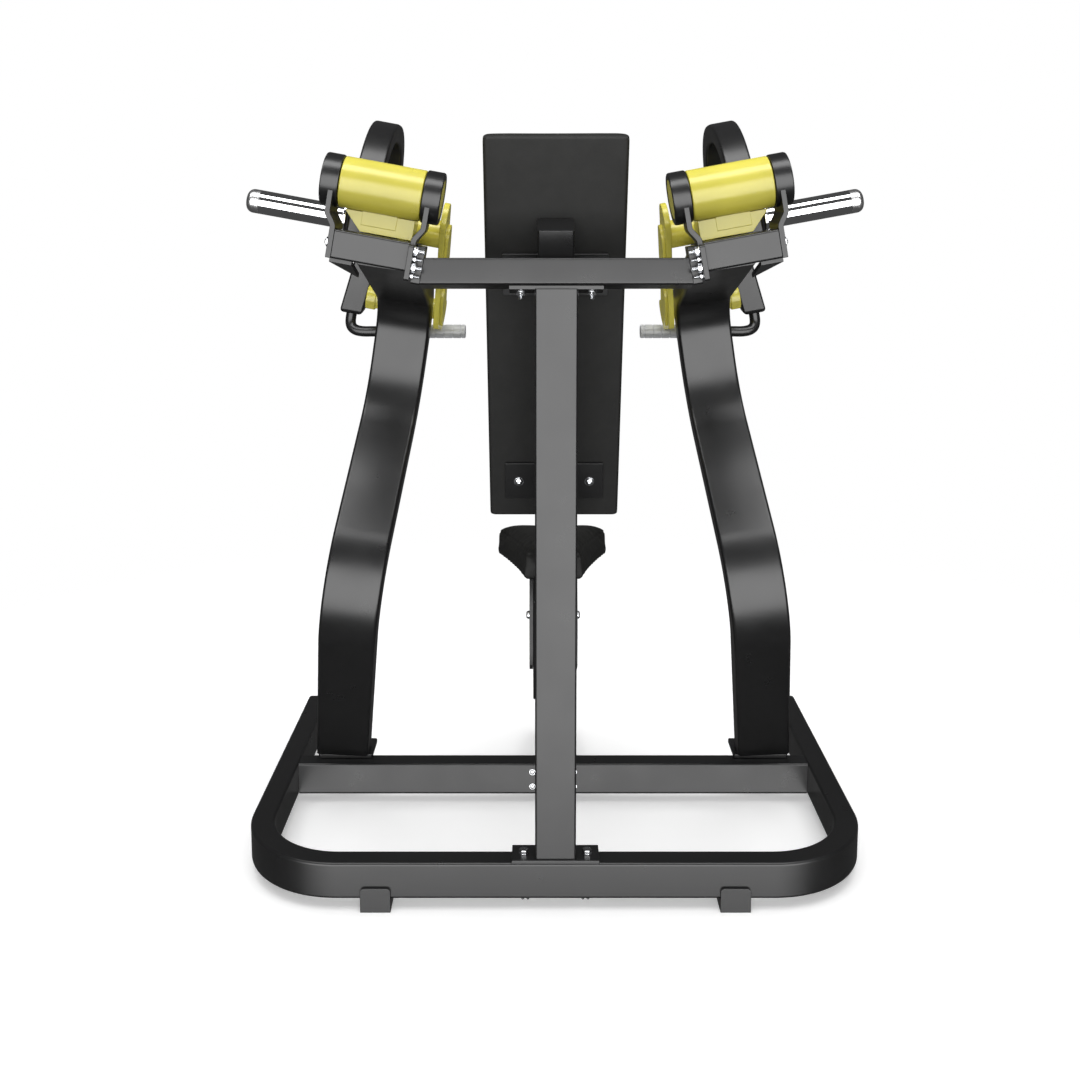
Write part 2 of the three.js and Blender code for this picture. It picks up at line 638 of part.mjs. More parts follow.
// The wedge that fills the space between the tilted top bar and the reclined spine.
function spineSaddle() {
  const tilt = rad(BAR_TILT);
  const bar = (t) => [BAR_DEPTH * Math.cos(tilt) + t * Math.sin(tilt) + GAP,
    BAR_REAR_BOTTOM - BAR_DEPTH * Math.sin(tilt) + t * Math.cos(tilt)];
  const lean = rad(RECLINE);
  const depth = PAD_PLATE + 3 * GAP + SPINE_DEPTH;
  const behind = (z) => {
    const up = (z - PAD_FOOT[2] + depth * Math.sin(lean)) / Math.cos(lean);
    return [PAD_FOOT[1] - depth * Math.cos(lean) - up * Math.sin(lean), z];
  };
  const [low, high] = [bar(4), bar(BAR_HEIGHT - 4)];
  return pushed(polygon([low, behind(low[1]), behind(high[1]), high]), "x", -30, 30);
}

function padPlate(low, high) {
  const shape = polygon(rectangle(-105, 105, low, high, 3).getPoints(2).map((p) => [p.y, p.x]).reverse());
  return pushed(shape, "y", -PAD_PLATE - GAP, -GAP);
}

function backPad() {
  const w = PAD_HALF_WIDTH;
  const shape = rectangle(-w, w, 0, PAD_LENGTH, 10).getPoints(2).map((p) => [p.y, p.x]).reverse();
  return pushed(polygon(shape), "y", 0, PAD_THICKNESS, 8);
}

// The seat is narrow at the back and flares towards the front.
function seatPad() {
  const [rear, middle, front] = [69, 92, 139];
  const shape = new THREE.Shape();
  shape.moveTo(-rear, 0);
  shape.lineTo(rear, 0);
  shape.quadraticCurveTo(middle, SEAT_LENGTH * 0.55, front, SEAT_LENGTH - 22);
  shape.quadraticCurveTo(front, SEAT_LENGTH, front - 26, SEAT_LENGTH);
  shape.lineTo(-front + 26, SEAT_LENGTH);
  shape.quadraticCurveTo(-front, SEAT_LENGTH, -front, SEAT_LENGTH - 22);
  shape.quadraticCurveTo(-middle, SEAT_LENGTH * 0.55, -rear, 0);
  return pushed(shape, "z", 0, SEAT_THICKNESS, 7, 4);
}

function seatSleeve() {
  const { low, high, half, wall } = SLEEVE;
  const centre = -PAD_PLATE - 2 * GAP - SPINE_DEPTH / 2;
  const shape = rectangle(-half, half, centre - half, centre + half);
  const hole = new THREE.Path();
  const inner = half - wall;
  hole.moveTo(-inner, centre - inner);
  hole.lineTo(-inner, centre + inner);
  hole.lineTo(inner, centre + inner);
  hole.lineTo(inner, centre - inner);
  shape.holes.push(hole);
  const bore = pushed(disc(0, -255, 6.5), "z", -12, 12, 0, 8).rotateX(Math.PI / 2);
  return cut(pushed(shape, "z", low, high, 0, 2), bore);
}

function seatPlate() {
  const slant = Math.tan(rad(SEAT_SLOPE));
  const under = (y) => SEAT_REAR[1] - 0.4 + (y - SEAT_REAR[0]) * slant;
  const side = [
    [436, under(436)], [392, 440], [400, 352], [424, 334], [466, 334],
    [540, 436], [700, 482], [706, under(706)],
  ];
  const shape = polygon(side);
  const hole = new THREE.Path();
  hole.absarc(SEAT_BOLT[0], SEAT_BOLT[1], 6.5, 0, Math.PI * 2, true);
  shape.holes.push(hole);
  return pushed(shape, "x", 0, PLATE, 0, 8);
}

function seatBolt() {
  const half = SLEEVE.half + GAP + PLATE;
  const side = [[0, -half - 8], [7, -half - 7.5], [9.5, -half - 4], [9.5, -half - GAP], [6, -half - GAP]];
  const other = side.map(([r, x]) => [r, -x]).reverse();
  return turned([...side, ...other], "x", 12).translate(0, ...SEAT_BOLT);
}

// The pull pin that locks the seat; its tip rests on the spine.
function seatPin() {
  const tip = -PAD_PLATE - GAP + 0.5;
  const profile = [
    [0, tip], [5.5, tip], [5.5, 14], [9, 14], [9, 26], [13, 30], [14, 48], [11, 54], [0, 55],
  ];
  return turned(profile, "y", 12).translate(0, 0, -255);
}

function buildPadAndSeat() {
  add(recline, "pad_spine", spine(), BLACK);
  add(machine, "spine_saddle", spineSaddle(), BLACK);
  add(recline, "upper_pad_plate", padPlate(527, 615), BLACK);
  add(recline, "lower_pad_plate", padPlate(51, 138), BLACK);
  add(recline, "back_pad", backPad(), VINYL);
  add(recline, "seat_sleeve", seatSleeve(), BLACK);
  add(recline, "seat_pin", seatPin(), RUBBER);
  const seat = add(machine, "seat_pad", seatPad(), VINYL);
  seat.position.set(0, ...SEAT_REAR);
  seat.rotation.x = rad(SEAT_SLOPE);
  const inner = SLEEVE.half + GAP;
  add(machine, "seat_plate_r", seatPlate(), BLACK).position.x = inner;
  add(machine, "seat_plate_l", seatPlate(), BLACK).position.x = -inner - PLATE;
  add(machine, "seat_bolt", seatBolt(), ZINC);
}

buildBase();
buildPostAndBar();
for (const side of ["l", "r"]) {
  buildUprights(side);
  buildHead(side);
  buildArm(side);
}
buildPadAndSeat();

export default machine;
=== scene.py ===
"""Visual model of a plate-loaded chest press machine.

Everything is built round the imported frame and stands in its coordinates: metres, +Z up, +Y the
way the seated user faces. Each sub-assembly of the machine is a class with its sizes as fields.
Shapes of a left part are drawn once, in a left-hand frame, and mirrored for the right side.
"""
from __future__ import annotations

import json
import logging
import math
from dataclasses import dataclass, field
from enum import Enum
from typing import Callable, Iterable, Sequence

import bmesh
import bpy
from mathutils import Matrix, Vector

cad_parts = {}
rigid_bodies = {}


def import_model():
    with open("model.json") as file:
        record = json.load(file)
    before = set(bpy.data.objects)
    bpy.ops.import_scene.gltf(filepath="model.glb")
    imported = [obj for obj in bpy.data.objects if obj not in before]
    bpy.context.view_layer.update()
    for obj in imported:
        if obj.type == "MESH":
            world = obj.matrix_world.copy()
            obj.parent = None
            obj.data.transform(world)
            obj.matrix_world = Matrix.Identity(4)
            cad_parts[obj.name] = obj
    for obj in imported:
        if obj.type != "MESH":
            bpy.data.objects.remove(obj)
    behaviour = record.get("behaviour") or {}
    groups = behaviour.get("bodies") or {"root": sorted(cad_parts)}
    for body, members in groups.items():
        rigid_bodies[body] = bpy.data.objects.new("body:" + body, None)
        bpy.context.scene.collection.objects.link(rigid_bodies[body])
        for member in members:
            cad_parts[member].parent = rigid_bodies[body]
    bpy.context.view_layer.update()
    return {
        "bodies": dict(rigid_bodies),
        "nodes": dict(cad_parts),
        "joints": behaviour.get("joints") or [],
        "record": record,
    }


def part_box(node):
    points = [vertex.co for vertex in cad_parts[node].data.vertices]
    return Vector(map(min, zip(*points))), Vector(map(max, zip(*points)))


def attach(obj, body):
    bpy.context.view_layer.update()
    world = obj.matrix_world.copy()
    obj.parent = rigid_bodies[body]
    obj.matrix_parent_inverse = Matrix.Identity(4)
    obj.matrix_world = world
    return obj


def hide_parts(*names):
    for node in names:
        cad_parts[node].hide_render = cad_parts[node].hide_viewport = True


log = logging.getLogger("chest_press")

Ring = list[Vector]
Point2 = tuple[float, float]
Sample = tuple[Vector, Vector]
MIRROR = Matrix.Diagonal((-1.0, 1.0, 1.0, 1.0))


class Side(Enum):
    """One half of the machine; the value is the sign of X there."""

    LEFT = -1
    RIGHT = 1

    @property
    def tag(self) -> str:
        """The letter that ends the names of this side's pieces."""
        return "l" if self is Side.LEFT else "r"

    @property
    def arm(self) -> str:
        """The body that this side's press arm belongs to."""
        return "left_arm" if self is Side.LEFT else "right_arm"

    def place(self, left: Matrix) -> Matrix:
        """The given left-hand frame, or its mirror image on the right."""
        return left if self is Side.LEFT else MIRROR @ left


class Plane(Enum):
    """The plane that an outline is drawn in; the value holds its two axes and the way across."""

    YZ = ((0, 1, 0), (0, 0, 1), (1, 0, 0))
    XY = ((1, 0, 0), (0, 1, 0), (0, 0, 1))
    XZ = ((1, 0, 0), (0, 0, 1), (0, 1, 0))

    def at(self, a: float, b: float, across: float) -> Vector:
        """The point with outline coordinates a and b, moved across the plane."""
        u, v, w = (Vector(axis) for axis in self.value)
        return u * a + v * b + w * across


# ---- outlines and paths ----------------------------------------------------------------------
def arc(centre: Point2, radius: float, start: float, end: float, steps: int) -> list[Vector]:
    """Points on an arc.

    Args:
        centre: The middle of the circle.
        radius: The circle's radius.
        start: Angle of the first point, in degrees.
        end: Angle of the last point, in degrees.
        steps: Number of chords.

    Returns:
        The steps + 1 points, as 2D vectors.
    """
    points = []
    for k in range(steps + 1):
        angle = math.radians(start + (end - start) * k / steps)
        points.append(Vector((centre[0] + radius * math.cos(angle),
                              centre[1] + radius * math.sin(angle))))
    return points


def rounded_rectangle(x: Point2, y: Point2, radius: float, steps: int = 5) -> list[Vector]:
    """The outline of a rectangle with round corners.

    Args:
        x: Lowest and highest first coordinate.
        y: Lowest and highest second coordinate.
        radius: Corner radius.
        steps: Chords in each corner.

    Returns:
        The outline, counter-clockwise.
    """
    corners = ((x[1], y[0], -90), (x[1], y[1], 0), (x[0], y[1], 90), (x[0], y[0], 180))
    outline = []
    for cx, cy, start in corners:
        centre = (cx - math.copysign(radius, cx - sum(x) / 2),
                  cy - math.copysign(radius, cy - sum(y) / 2))
        outline += arc(centre, radius, start, start + 90, steps)
    return outline


def filleted(points: Sequence[Point2], radii: Sequence[float], steps: int = 20) -> list[Sample]:
    """Samples of a path whose corners are rounded.

    Args:
        points: The path's corner points.
        radii: A radius for each point; the first and last aren't used.
        steps: Chords in each bend.

    Returns:
        Pairs of a point and the unit normal on the path's left.
    """
    corners = [Vector(p) for p in points]
    samples: list[Sample] = []
    for i, corner in enumerate(corners):
        before = (corner - corners[i - 1]).normalized() if i else None
        after = (corners[i + 1] - corner).normalized() if i < len(corners) - 1 else None
        if before is None or after is None:
            along = after or before
            samples.append((corner, Vector((-along.y, along.x))))
            continue
        turn = 1.0 if before.x * after.y - before.y * after.x > 0 else -1.0
        angle = math.acos(max(-1.0, min(1.0, before.dot(after))))
        start = corner - before * (radii[i] * math.tan(angle / 2))
        centre = start + Vector((-before.y, before.x)) * turn * radii[i]
        for k in range(steps + 1):
            spoke = (start - centre)
            spoke.rotate(Matrix.Rotation(turn * angle * k / steps, 2))
            samples.append((centre + spoke, -spoke * turn / radii[i]))
    return samples


def band(points: Sequence[Point2], radii: Sequence[float], half: float) -> list[Vector]:
    """The outline of a flat bar with round ends that follows a path.

    Args:
        points: The corner points of the middle line.
        radii: The radius of the middle line at each point.
        half: Half of the bar's width.

    Returns:
        The outline.
    """
    samples = filleted(points, radii, 10)
    outline = [p + n * half for p, n in samples]
    for (p, n), sign in ((samples[-1], 1.0), (samples[0], -1.0)):
        angle = math.degrees(math.atan2(n.y * sign, n.x * sign))
        outline += arc((p.x, p.y), half, angle, angle - 180, 16)[1:-1]
        if sign > 0:
            outline += [q - m * half for q, m in reversed(samples)]
    return outline


# ---- mesh building ---------------------------------------------------------------------------
def loft(bm: bmesh.types.BMesh, rings: Sequence[Ring], closed: bool = False) -> None:
    """Joins rings of points with faces.

    Args:
        bm: The mesh that receives the faces.
        rings: Rings with the same number of points.
        closed: Joins the last ring to the first, and otherwise both ends get a cap.
    """
    rows = [[bm.verts.new(p) for p in ring] for ring in rings]
    count = len(rows[0])
    pairs = list(zip(rows, rows[1:])) + ([(rows[-1], rows[0])] if closed else [])
    for a, b in pairs:
        for i in range(count):
            j = (i + 1) % count
            bm.faces.new((a[i], a[j], b[j], b[i]))
    if not closed:
        bm.faces.new(rows[0][::-1])
        bm.faces.new(rows[-1])


def prism(outline: Iterable[Sequence[float]], plane: Plane, span: Point2,
          into: bmesh.types.BMesh | None = None) -> bmesh.types.BMesh:
    """An outline pushed across its plane.

    Args:
        outline: The outline's points.
        plane: The plane that it is drawn in.
        span: Where the solid starts and ends across the plane.
        into: A mesh to add to, or None for a new one.

    Returns:
        The mesh.
    """
    bm = into or bmesh.new()
    points = list(outline)
    loft(bm, [[plane.at(p[0], p[1], w) for p in points] for w in span])
    return bm


def sweep(samples: Sequence[Sample], plane: Plane, thick: Point2, across: Point2, radius: float,
          noses: Point2 = (0.0, 0.0)) -> bmesh.types.BMesh:
    """A tube of rounded rectangular section along a flat path.

    Args:
        samples: The path's points, each with the normal on its left.
        plane: The plane that the path lies in.
        thick: How far the section reaches along the normal, lowest and highest.
        across: How far it reaches across the plane.
        radius: The section's corner radius.
        noses: How far the first and the last end are rounded over.

    Returns:
        The mesh.
    """
    def ring(p: Vector, n: Vector, inset: float) -> Ring:
        """The section at one sample, made smaller by inset on every side."""
        section = rounded_rectangle((thick[0] + inset, thick[1] - inset),
                                    (across[0] + inset, across[1] - inset),
                                    max(radius - inset, radius * 0.35))
        return [plane.at(p.x + n.x * s.x, p.y + n.y * s.x, s.y) for s in section]

    rings = [ring(p, n, 0.0) for p, n in samples]
    for nose, (p, n), sign in ((noses[0], samples[0], -1.0), (noses[1], samples[-1], 1.0)):
        along = Vector((n.y, -n.x)) * sign
        if not nose:
            continue
        base = p - along * nose
        over = [ring(base + along * nose * math.sin(math.pi * k / 8), n,
                     nose * (1 - math.cos(math.pi * k / 8))) for k in range(5)]
        if sign > 0:
            rings[-1:] = over
        else:
            rings[:1] = over[::-1]
    bm = bmesh.new()
    loft(bm, rings)
    return bm


def turned(profile: Sequence[Point2], segments: int = 64, closed: bool = False,
           into: bmesh.types.BMesh | None = None, place: Matrix | None = None) -> bmesh.types.BMesh:
    """A body of revolution about X.

    Args:
        profile: Pairs of a place along X and a radius.
        segments: Number of faces round the axis.
        closed: The profile is a loop, as for a sleeve.
        into: A mesh to add to, or None for a new one.
        place: Where the body goes, or None to leave it on the X axis.

    Returns:
        The mesh.
    """
    bm = into or bmesh.new()
    turns = [math.tau * k / segments for k in range(segments)]
    spot = place or Matrix.Identity(4)
    rings = [[spot @ Vector((x, r * math.cos(t), r * math.sin(t))) for t in turns]
             for x, r in profile]
    loft(bm, rings, closed)
    return bm


def tube(path: Sequence[Vector], radius: float, segments: int = 24) -> bmesh.types.BMesh:
    """A round tube along a path in space.

    Args:
        path: The points of its middle line.
        radius: The tube's radius.
        segments: Number of faces round it.

    Returns:
        The mesh.
    """
    rings = []
    side = Vector((0.0, 1.0, 0.0))
    for i, point in enumerate(path):
        along = (path[min(i + 1, len(path) - 1)] - path[max(i - 1, 0)]).normalized()
        side = (side - along * side.dot(along)).normalized()
        up = along.cross(side)
        rings.append([point + (side * math.cos(t) + up * math.sin(t)) * radius
                      for t in (math.tau * k / segments for k in range(segments))])
    bm = bmesh.new()
    loft(bm, rings)
    return bm


def bezier(a: Vector, b: Vector, c: Vector, d: Vector, steps: int) -> list[Vector]:
    """The points of a cubic curve with control points a, b, c and d."""
    points = []
    for k in range(steps + 1):
        t = k / steps
        s = 1 - t
        points.append(a * s ** 3 + b * 3 * s * s * t + c * 3 * s * t * t + d * t ** 3)
    return points


def aimed(point: Vector, direction: Vector) -> Matrix:
    """A frame at a point whose X axis has the given direction."""
    turn = direction.normalized().to_track_quat("X", "Z").to_matrix().to_4x4()
    return Matrix.Translation(point) @ turn


def inner_copy(node: str) -> bmesh.types.BMesh:
    """A clean mesh with the outer shape of a node of the frame.

    Args:
        node: The node's name.

    Returns:
        The mesh, with shared corners and flat faces in one piece each.
    """
    bm = bmesh.new()
    bm.from_mesh(bpy.data.objects[node].data)
    bmesh.ops.remove_doubles(bm, verts=bm.verts, dist=2e-5)
    bmesh.ops.dissolve_limit(bm, angle_limit=math.radians(0.6), verts=bm.verts, edges=bm.edges)
    return bm


# ---- finishes --------------------------------------------------------------------------------
class Recipe:
    """The node tree of one material while it is put together."""

    def __init__(self, name: str) -> None:
        """Starts a material with an empty surface shader."""
        self.material = bpy.data.materials.new(name)
        self.material.use_nodes = True
        self.tree = self.material.node_tree
        self.shader = self.tree.nodes["Principled BSDF"]
        self.place = self.tree.nodes.new("ShaderNodeTexCoord").outputs["Object"]

    def node(self, kind: str, values: dict[str, object] | None = None) -> bpy.types.Node:
        """Adds a node.

        Args:
            kind: The node's type name.
            values: Values for its inputs.

        Returns:
            The node.
        """
        made = self.tree.nodes.new(kind)
        for key, value in (values or {}).items():
            made.inputs[key].default_value = value
        return made

    def set(self, **values: object) -> None:
        """Sets the shader's own inputs; an underscore stands for a space."""
        for key, value in values.items():
            self.shader.inputs[key.replace("_", " ")].default_value = value

    def noise(self, scale: float, detail: float = 2.0,
              stretch: tuple[float, float, float] = (1.0, 1.0, 1.0)) -> bpy.types.NodeSocket:
        """A noise pattern in object space.

        Args:
            scale: Waves in a metre.
            detail: Octaves of finer noise.
            stretch: How much more often it repeats along each axis.

        Returns:
            Its output, from 0 to 1.
        """
        mapping = self.node("ShaderNodeMapping", {"Scale": stretch})
        made = self.node("ShaderNodeTexNoise", {"Scale": scale, "Detail": detail})
        self.tree.links.new(self.place, mapping.inputs["Vector"])
        self.tree.links.new(mapping.outputs["Vector"], made.inputs["Vector"])
        return made.outputs["Fac"]

    def cells(self, scale: float) -> bpy.types.NodeSocket:
        """A pattern of rounded cells, as in grained leather."""
        made = self.node("ShaderNodeTexVoronoi", {"Scale": scale, "Randomness": 0.9})
        made.feature = "SMOOTH_F1"
        self.tree.links.new(self.place, made.inputs["Vector"])
        return made.outputs["Distance"]

    def spread(self, value: bpy.types.NodeSocket, low: float, high: float,
               window: Point2 = (0.3, 0.7)) -> bpy.types.NodeSocket:
        """A value mapped to a range.

        Args:
            value: The value to map.
            low: The result at the window's start.
            high: The result at the window's end.
            window: The part of the input that counts.

        Returns:
            The mapped value.
        """
        made = self.node("ShaderNodeMapRange", {"From Min": window[0], "From Max": window[1],
                                                "To Min": low, "To Max": high})
        self.tree.links.new(value, made.inputs["Value"])
        return made.outputs["Result"]

    def tint(self, value: bpy.types.NodeSocket, colour: Sequence[float], low: float,
             high: float) -> None:
        """Gives the surface a colour whose brightness follows a pattern.

        Args:
            value: The pattern, from 0 to 1.
            colour: The middle colour.
            low: Brightness where the pattern is low.
            high: Brightness where it is high.
        """
        mix = self.node("ShaderNodeMix")
        mix.data_type = "RGBA"
        mix.inputs[6].default_value = (*(c * low for c in colour), 1.0)
        mix.inputs[7].default_value = (*(min(c * high, 1.0) for c in colour), 1.0)
        self.tree.links.new(self.spread(value, 0.0, 1.0), mix.inputs[0])
        self.tree.links.new(mix.outputs[2], self.shader.inputs["Base Color"])

    def bump(self, layers: Sequence[tuple[bpy.types.NodeSocket, float, float]]) -> None:
        """Gives the surface its relief.

        Args:
            layers: For each layer its height pattern, its strength and its depth in metres.
        """
        normal = None
        for height, strength, depth in layers:
            made = self.node("ShaderNodeBump", {"Strength": strength, "Distance": depth})
            self.tree.links.new(height, made.inputs["Height"])
            if normal is not None:
                self.tree.links.new(normal, made.inputs["Normal"])
            normal = made.outputs["Normal"]
        self.tree.links.new(normal, self.shader.inputs["Normal"])

    def roughness(self, value: bpy.types.NodeSocket) -> None:
        """Lets the roughness follow a value."""
        self.tree.links.new(value, self.shader.inputs["Roughness"])


@dataclass(frozen=True)
class PowderCoat:
    """A satin powder coat: orange peel, fine grain and slow changes of gloss."""

    name: str
    slot: str
    colour: tuple[float, float, float]
    gloss: Point2 = (0.27, 0.33)
    peel: float = 0.35

    def mix(self) -> bpy.types.Material:
        """Makes the material."""
        r = Recipe(self.name)
        r.tint(r.noise(9.0, 4.0), self.colour, 0.93, 1.07)
        r.roughness(r.spread(r.noise(14.0, 5.0), *self.gloss))
        r.set(Specular_IOR_Level=0.5)
        r.bump([(r.noise(420.0, 2.0), self.peel, 0.00012), (r.noise(2600.0, 1.0), 0.25, 0.00003)])
        return r.material


@dataclass(frozen=True)
class Plating:
    """A plated metal, with faint marks along the way it was turned or brushed."""

    name: str
    slot: str
    colour: tuple[float, float, float]
    gloss: Point2
    grain: float
    stretch: tuple[float, float, float] = (1.0, 1.0, 1.0)

    def mix(self) -> bpy.types.Material:
        """Makes the material."""
        r = Recipe(self.name)
        r.tint(r.noise(30.0, 3.0), self.colour, 0.94, 1.04)
        r.set(Metallic=1.0, Roughness=self.gloss[0])
        if self.grain > 0.0:
            r.roughness(r.spread(r.noise(60.0, 4.0, self.stretch), *self.gloss))
            r.bump([(r.noise(700.0, 2.0, self.stretch), self.grain, 0.00003)])
        return r.material


@dataclass(frozen=True)
class Vinyl:
    """Upholstery vinyl: a pebbled leather grain with soft wrinkles."""

    name: str
    slot: str
    colour: tuple[float, float, float]

    def mix(self) -> bpy.types.Material:
        """Makes the material."""
        r = Recipe(self.name)
        r.tint(r.noise(26.0, 5.0), self.colour, 0.88, 1.15)
        r.roughness(r.spread(r.cells(900.0), 0.5, 0.66, (0.0, 0.8)))
        r.set(Specular_IOR_Level=0.2)
        r.bump([(r.noise(18.0, 3.0), 0.25, 0.0012), (r.cells(900.0), 0.55, 0.0002),
                (r.noise(2400.0, 2.0), 0.2, 0.00005)])
        return r.material


@dataclass(frozen=True)
class Moulded:
    """A moulded rubber or plastic with a fine matt texture."""

    name: str
    slot: str
    colour: tuple[float, float, float]
    gloss: Point2
    texture: float = 0.4

    def mix(self) -> bpy.types.Material:
        """Makes the material."""
        r = Recipe(self.name)
        r.tint(r.noise(40.0, 4.0), self.colour, 0.9, 1.1)
        r.roughness(r.spread(r.noise(80.0, 3.0), *self.gloss))
        r.bump([(r.noise(1500.0, 3.0), self.texture, 0.00008)])
        return r.material


@dataclass(frozen=True)
class Finishes:
    """Every finish on the machine."""

    black: PowderCoat = PowderCoat("black_powder_coat", "black_paint", (0.012, 0.012, 0.0125))
    yellow: PowderCoat = PowderCoat("yellow_powder_coat", "yellow_paint", (0.70, 0.625, 0.085),
                                    (0.22, 0.28), 0.15)
    chrome: Plating = Plating("polished_chrome", "horn_chrome", (0.86, 0.87, 0.88), (0.07, 0.08),
                              0.0, (0.2, 1.0, 1.0))
    satin: Plating = Plating("satin_chrome", "horn_chrome", (0.72, 0.72, 0.72), (0.26, 0.36), 0.3)
    zinc: Plating = Plating("bright_zinc", "zinc", (0.78, 0.79, 0.81), (0.16, 0.28), 0.25)
    vinyl: Vinyl = Vinyl("black_vinyl", "pad_vinyl", (0.017, 0.017, 0.016))
    grip: Moulded = Moulded("grey_grip", "grip_grey", (0.50, 0.51, 0.52), (0.3, 0.42))
    rubber: Moulded = Moulded("black_rubber", "black_rubber", (0.012, 0.012, 0.012), (0.6, 0.8))


Finish = PowderCoat | Plating | Vinyl | Moulded


# ---- from mesh to piece ------------------------------------------------------------------------
@dataclass
class Workshop:
    """Places meshes in the row frame, rounds their edges, dresses them and lets them ride."""

    datum: Matrix
    made: dict[str, bpy.types.Material] = field(default_factory=dict)

    def material(self, finish: Finish) -> bpy.types.Material:
        """The material of a finish, made when it is first asked for."""
        if finish.name not in self.made:
            self.made[finish.name] = finish.mix()
        return self.made[finish.name]

    def piece(self, name: str, bm: bmesh.types.BMesh, finish: Finish, body: str = "frame",
              place: Matrix | None = None, stands_for: str = "", edge: float = 0.0,
              steps: int = 3) -> bpy.types.Object:
        """Turns a mesh into a finished piece.

        Args:
            name: The piece's name.
            bm: The mesh; it is freed.
            finish: What the surface is made of.
            body: The body that the piece rides on.
            place: The frame that the mesh was drawn in, or None for the machine's own.
            stands_for: The node of the frame that the piece replaces, if any.
            edge: Radius that sharp edges are rounded to.
            steps: Number of faces across a rounded edge.

        Returns:
            The piece.
        """
        bm.transform(self.datum if place is None else place)
        bmesh.ops.remove_doubles(bm, verts=bm.verts, dist=1e-6)
        bmesh.ops.recalc_face_normals(bm, faces=bm.faces)
        for face in bm.faces:
            face.smooth = True
        for rim in bm.edges:
            rim.smooth = len(rim.link_faces) == 2 and rim.calc_face_angle() < math.radians(40)
        mesh = bpy.data.meshes.new(name)
        bm.to_mesh(mesh)
        bm.free()
        made = bpy.data.objects.new(f"{name}.shown" if name in bpy.data.objects else name, mesh)
        bpy.context.scene.collection.objects.link(made)
        mesh.materials.append(self.material(finish))
        if edge:
            bevel = made.modifiers.new("rounded edges", "BEVEL")
            bevel.width = edge
            bevel.segments = steps
            bevel.limit_method = "ANGLE"
            bevel.angle_limit = math.radians(40)
            bevel.harden_normals = True
        made.modifiers.new("flat faces stay flat", "WEIGHTED_NORMAL").keep_sharp = not edge
        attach(made, body)
        if stands_for:
            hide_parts(stands_for)
        log.info("%s: %s on %s", made.name, finish.name, body)
        return made

    def refined(self, node: str, finish: Finish, body: str, edge: float) -> bpy.types.Object:
        """A piece with the shape of a node and rounded edges.

        Args:
            node: The node that the piece is made from and stands for.
            finish: What the surface is made of.
            body: The body that it rides on.
            edge: Radius of its edges.

        Returns:
            The piece.
        """
        return self.piece(node, inner_copy(node), finish, body, Matrix.Identity(4), node, edge)


class Head(Enum):
    """How a fastener's visible end looks."""

    HEX = "hex head"
    BUTTON = "button head with a hexagon socket"
    NUT = "nut on a threaded end"


@dataclass(frozen=True)
class Fastener:
    """A zinc-plated bolt end with its washer, drawn along +X from the face that it clamps."""

    head: Head
    size: float = 0.010
    reach: float = 0.0

    def hexagon(self, bm: bmesh.types.BMesh, spot: Matrix, low: float, high: float,
                bore: float) -> None:
        """Adds a chamfered hexagon.

        Args:
            bm: The mesh that receives it.
            spot: The fastener's frame.
            low: Where the hexagon starts along the axis.
            high: Where it ends.
            bore: Radius of the flat round face on top.
        """
        across = self.size * 0.85
        turns = [math.tau * k / 36 for k in range(36)]

        def ring(x: float, round_radius: float) -> Ring:
            """A ring of the hexagon, cut to a circle."""
            points = []
            for t in turns:
                flat = across / math.cos((t + math.pi / 6) % (math.pi / 3) - math.pi / 6)
                r = min(flat, round_radius)
                points.append(spot @ Vector((x, r * math.cos(t), r * math.sin(t))))
            return points

        chamfer = self.size * 0.09
        loft(bm, [ring(low, across * 1.03), ring(low + chamfer, 1.0), ring(high - chamfer, 1.0),
                  ring(high, across * 1.0), ring(high, bore)])

    def build(self, place: Matrix) -> bmesh.types.BMesh:
        """Builds the fastener.

        Args:
            place: Its frame: the origin on the clamped face, X along the axis outwards.

        Returns:
            The mesh.
        """
        s = self.size
        washer = 0.18 * s
        bm = turned([(0, 0.55 * s), (0, 0.98 * s), (washer * 0.3, 1.02 * s), (washer, 1.02 * s),
                     (washer, 0.55 * s)], 36, True, None, place)
        if self.head is Head.BUTTON:
            dome = [(washer + 0.5 * s * math.sin(a), 0.9 * s * math.cos(a))
                    for a in (math.radians(10 * k) for k in range(8))]
            turned([(washer, 0.0), (washer, 0.86 * s), *dome, (dome[-1][0] - 0.03 * s, 0.28 * s),
                    (washer + 0.2 * s, 0.27 * s), (washer + 0.2 * s, 0.0)], 36, False, bm, place)
            return bm
        self.hexagon(bm, place, washer, washer + 0.68 * s, 0.55 * s)
        if self.head is Head.NUT:
            start = washer + 0.6 * s
            pitch = 0.16 * s
            count = int(self.reach / pitch)
            thread = [(start, 0.0)]
            for k in range(count):
                x = start + pitch * k
                thread += [(x, 0.44 * s), (x + pitch / 2, 0.5 * s)]
            tip = start + pitch * count
            turned([*thread, (tip, 0.44 * s), (tip + 0.06 * s, 0.36 * s), (tip + 0.06 * s, 0.0)],
                   24, False, bm, place)
        return bm


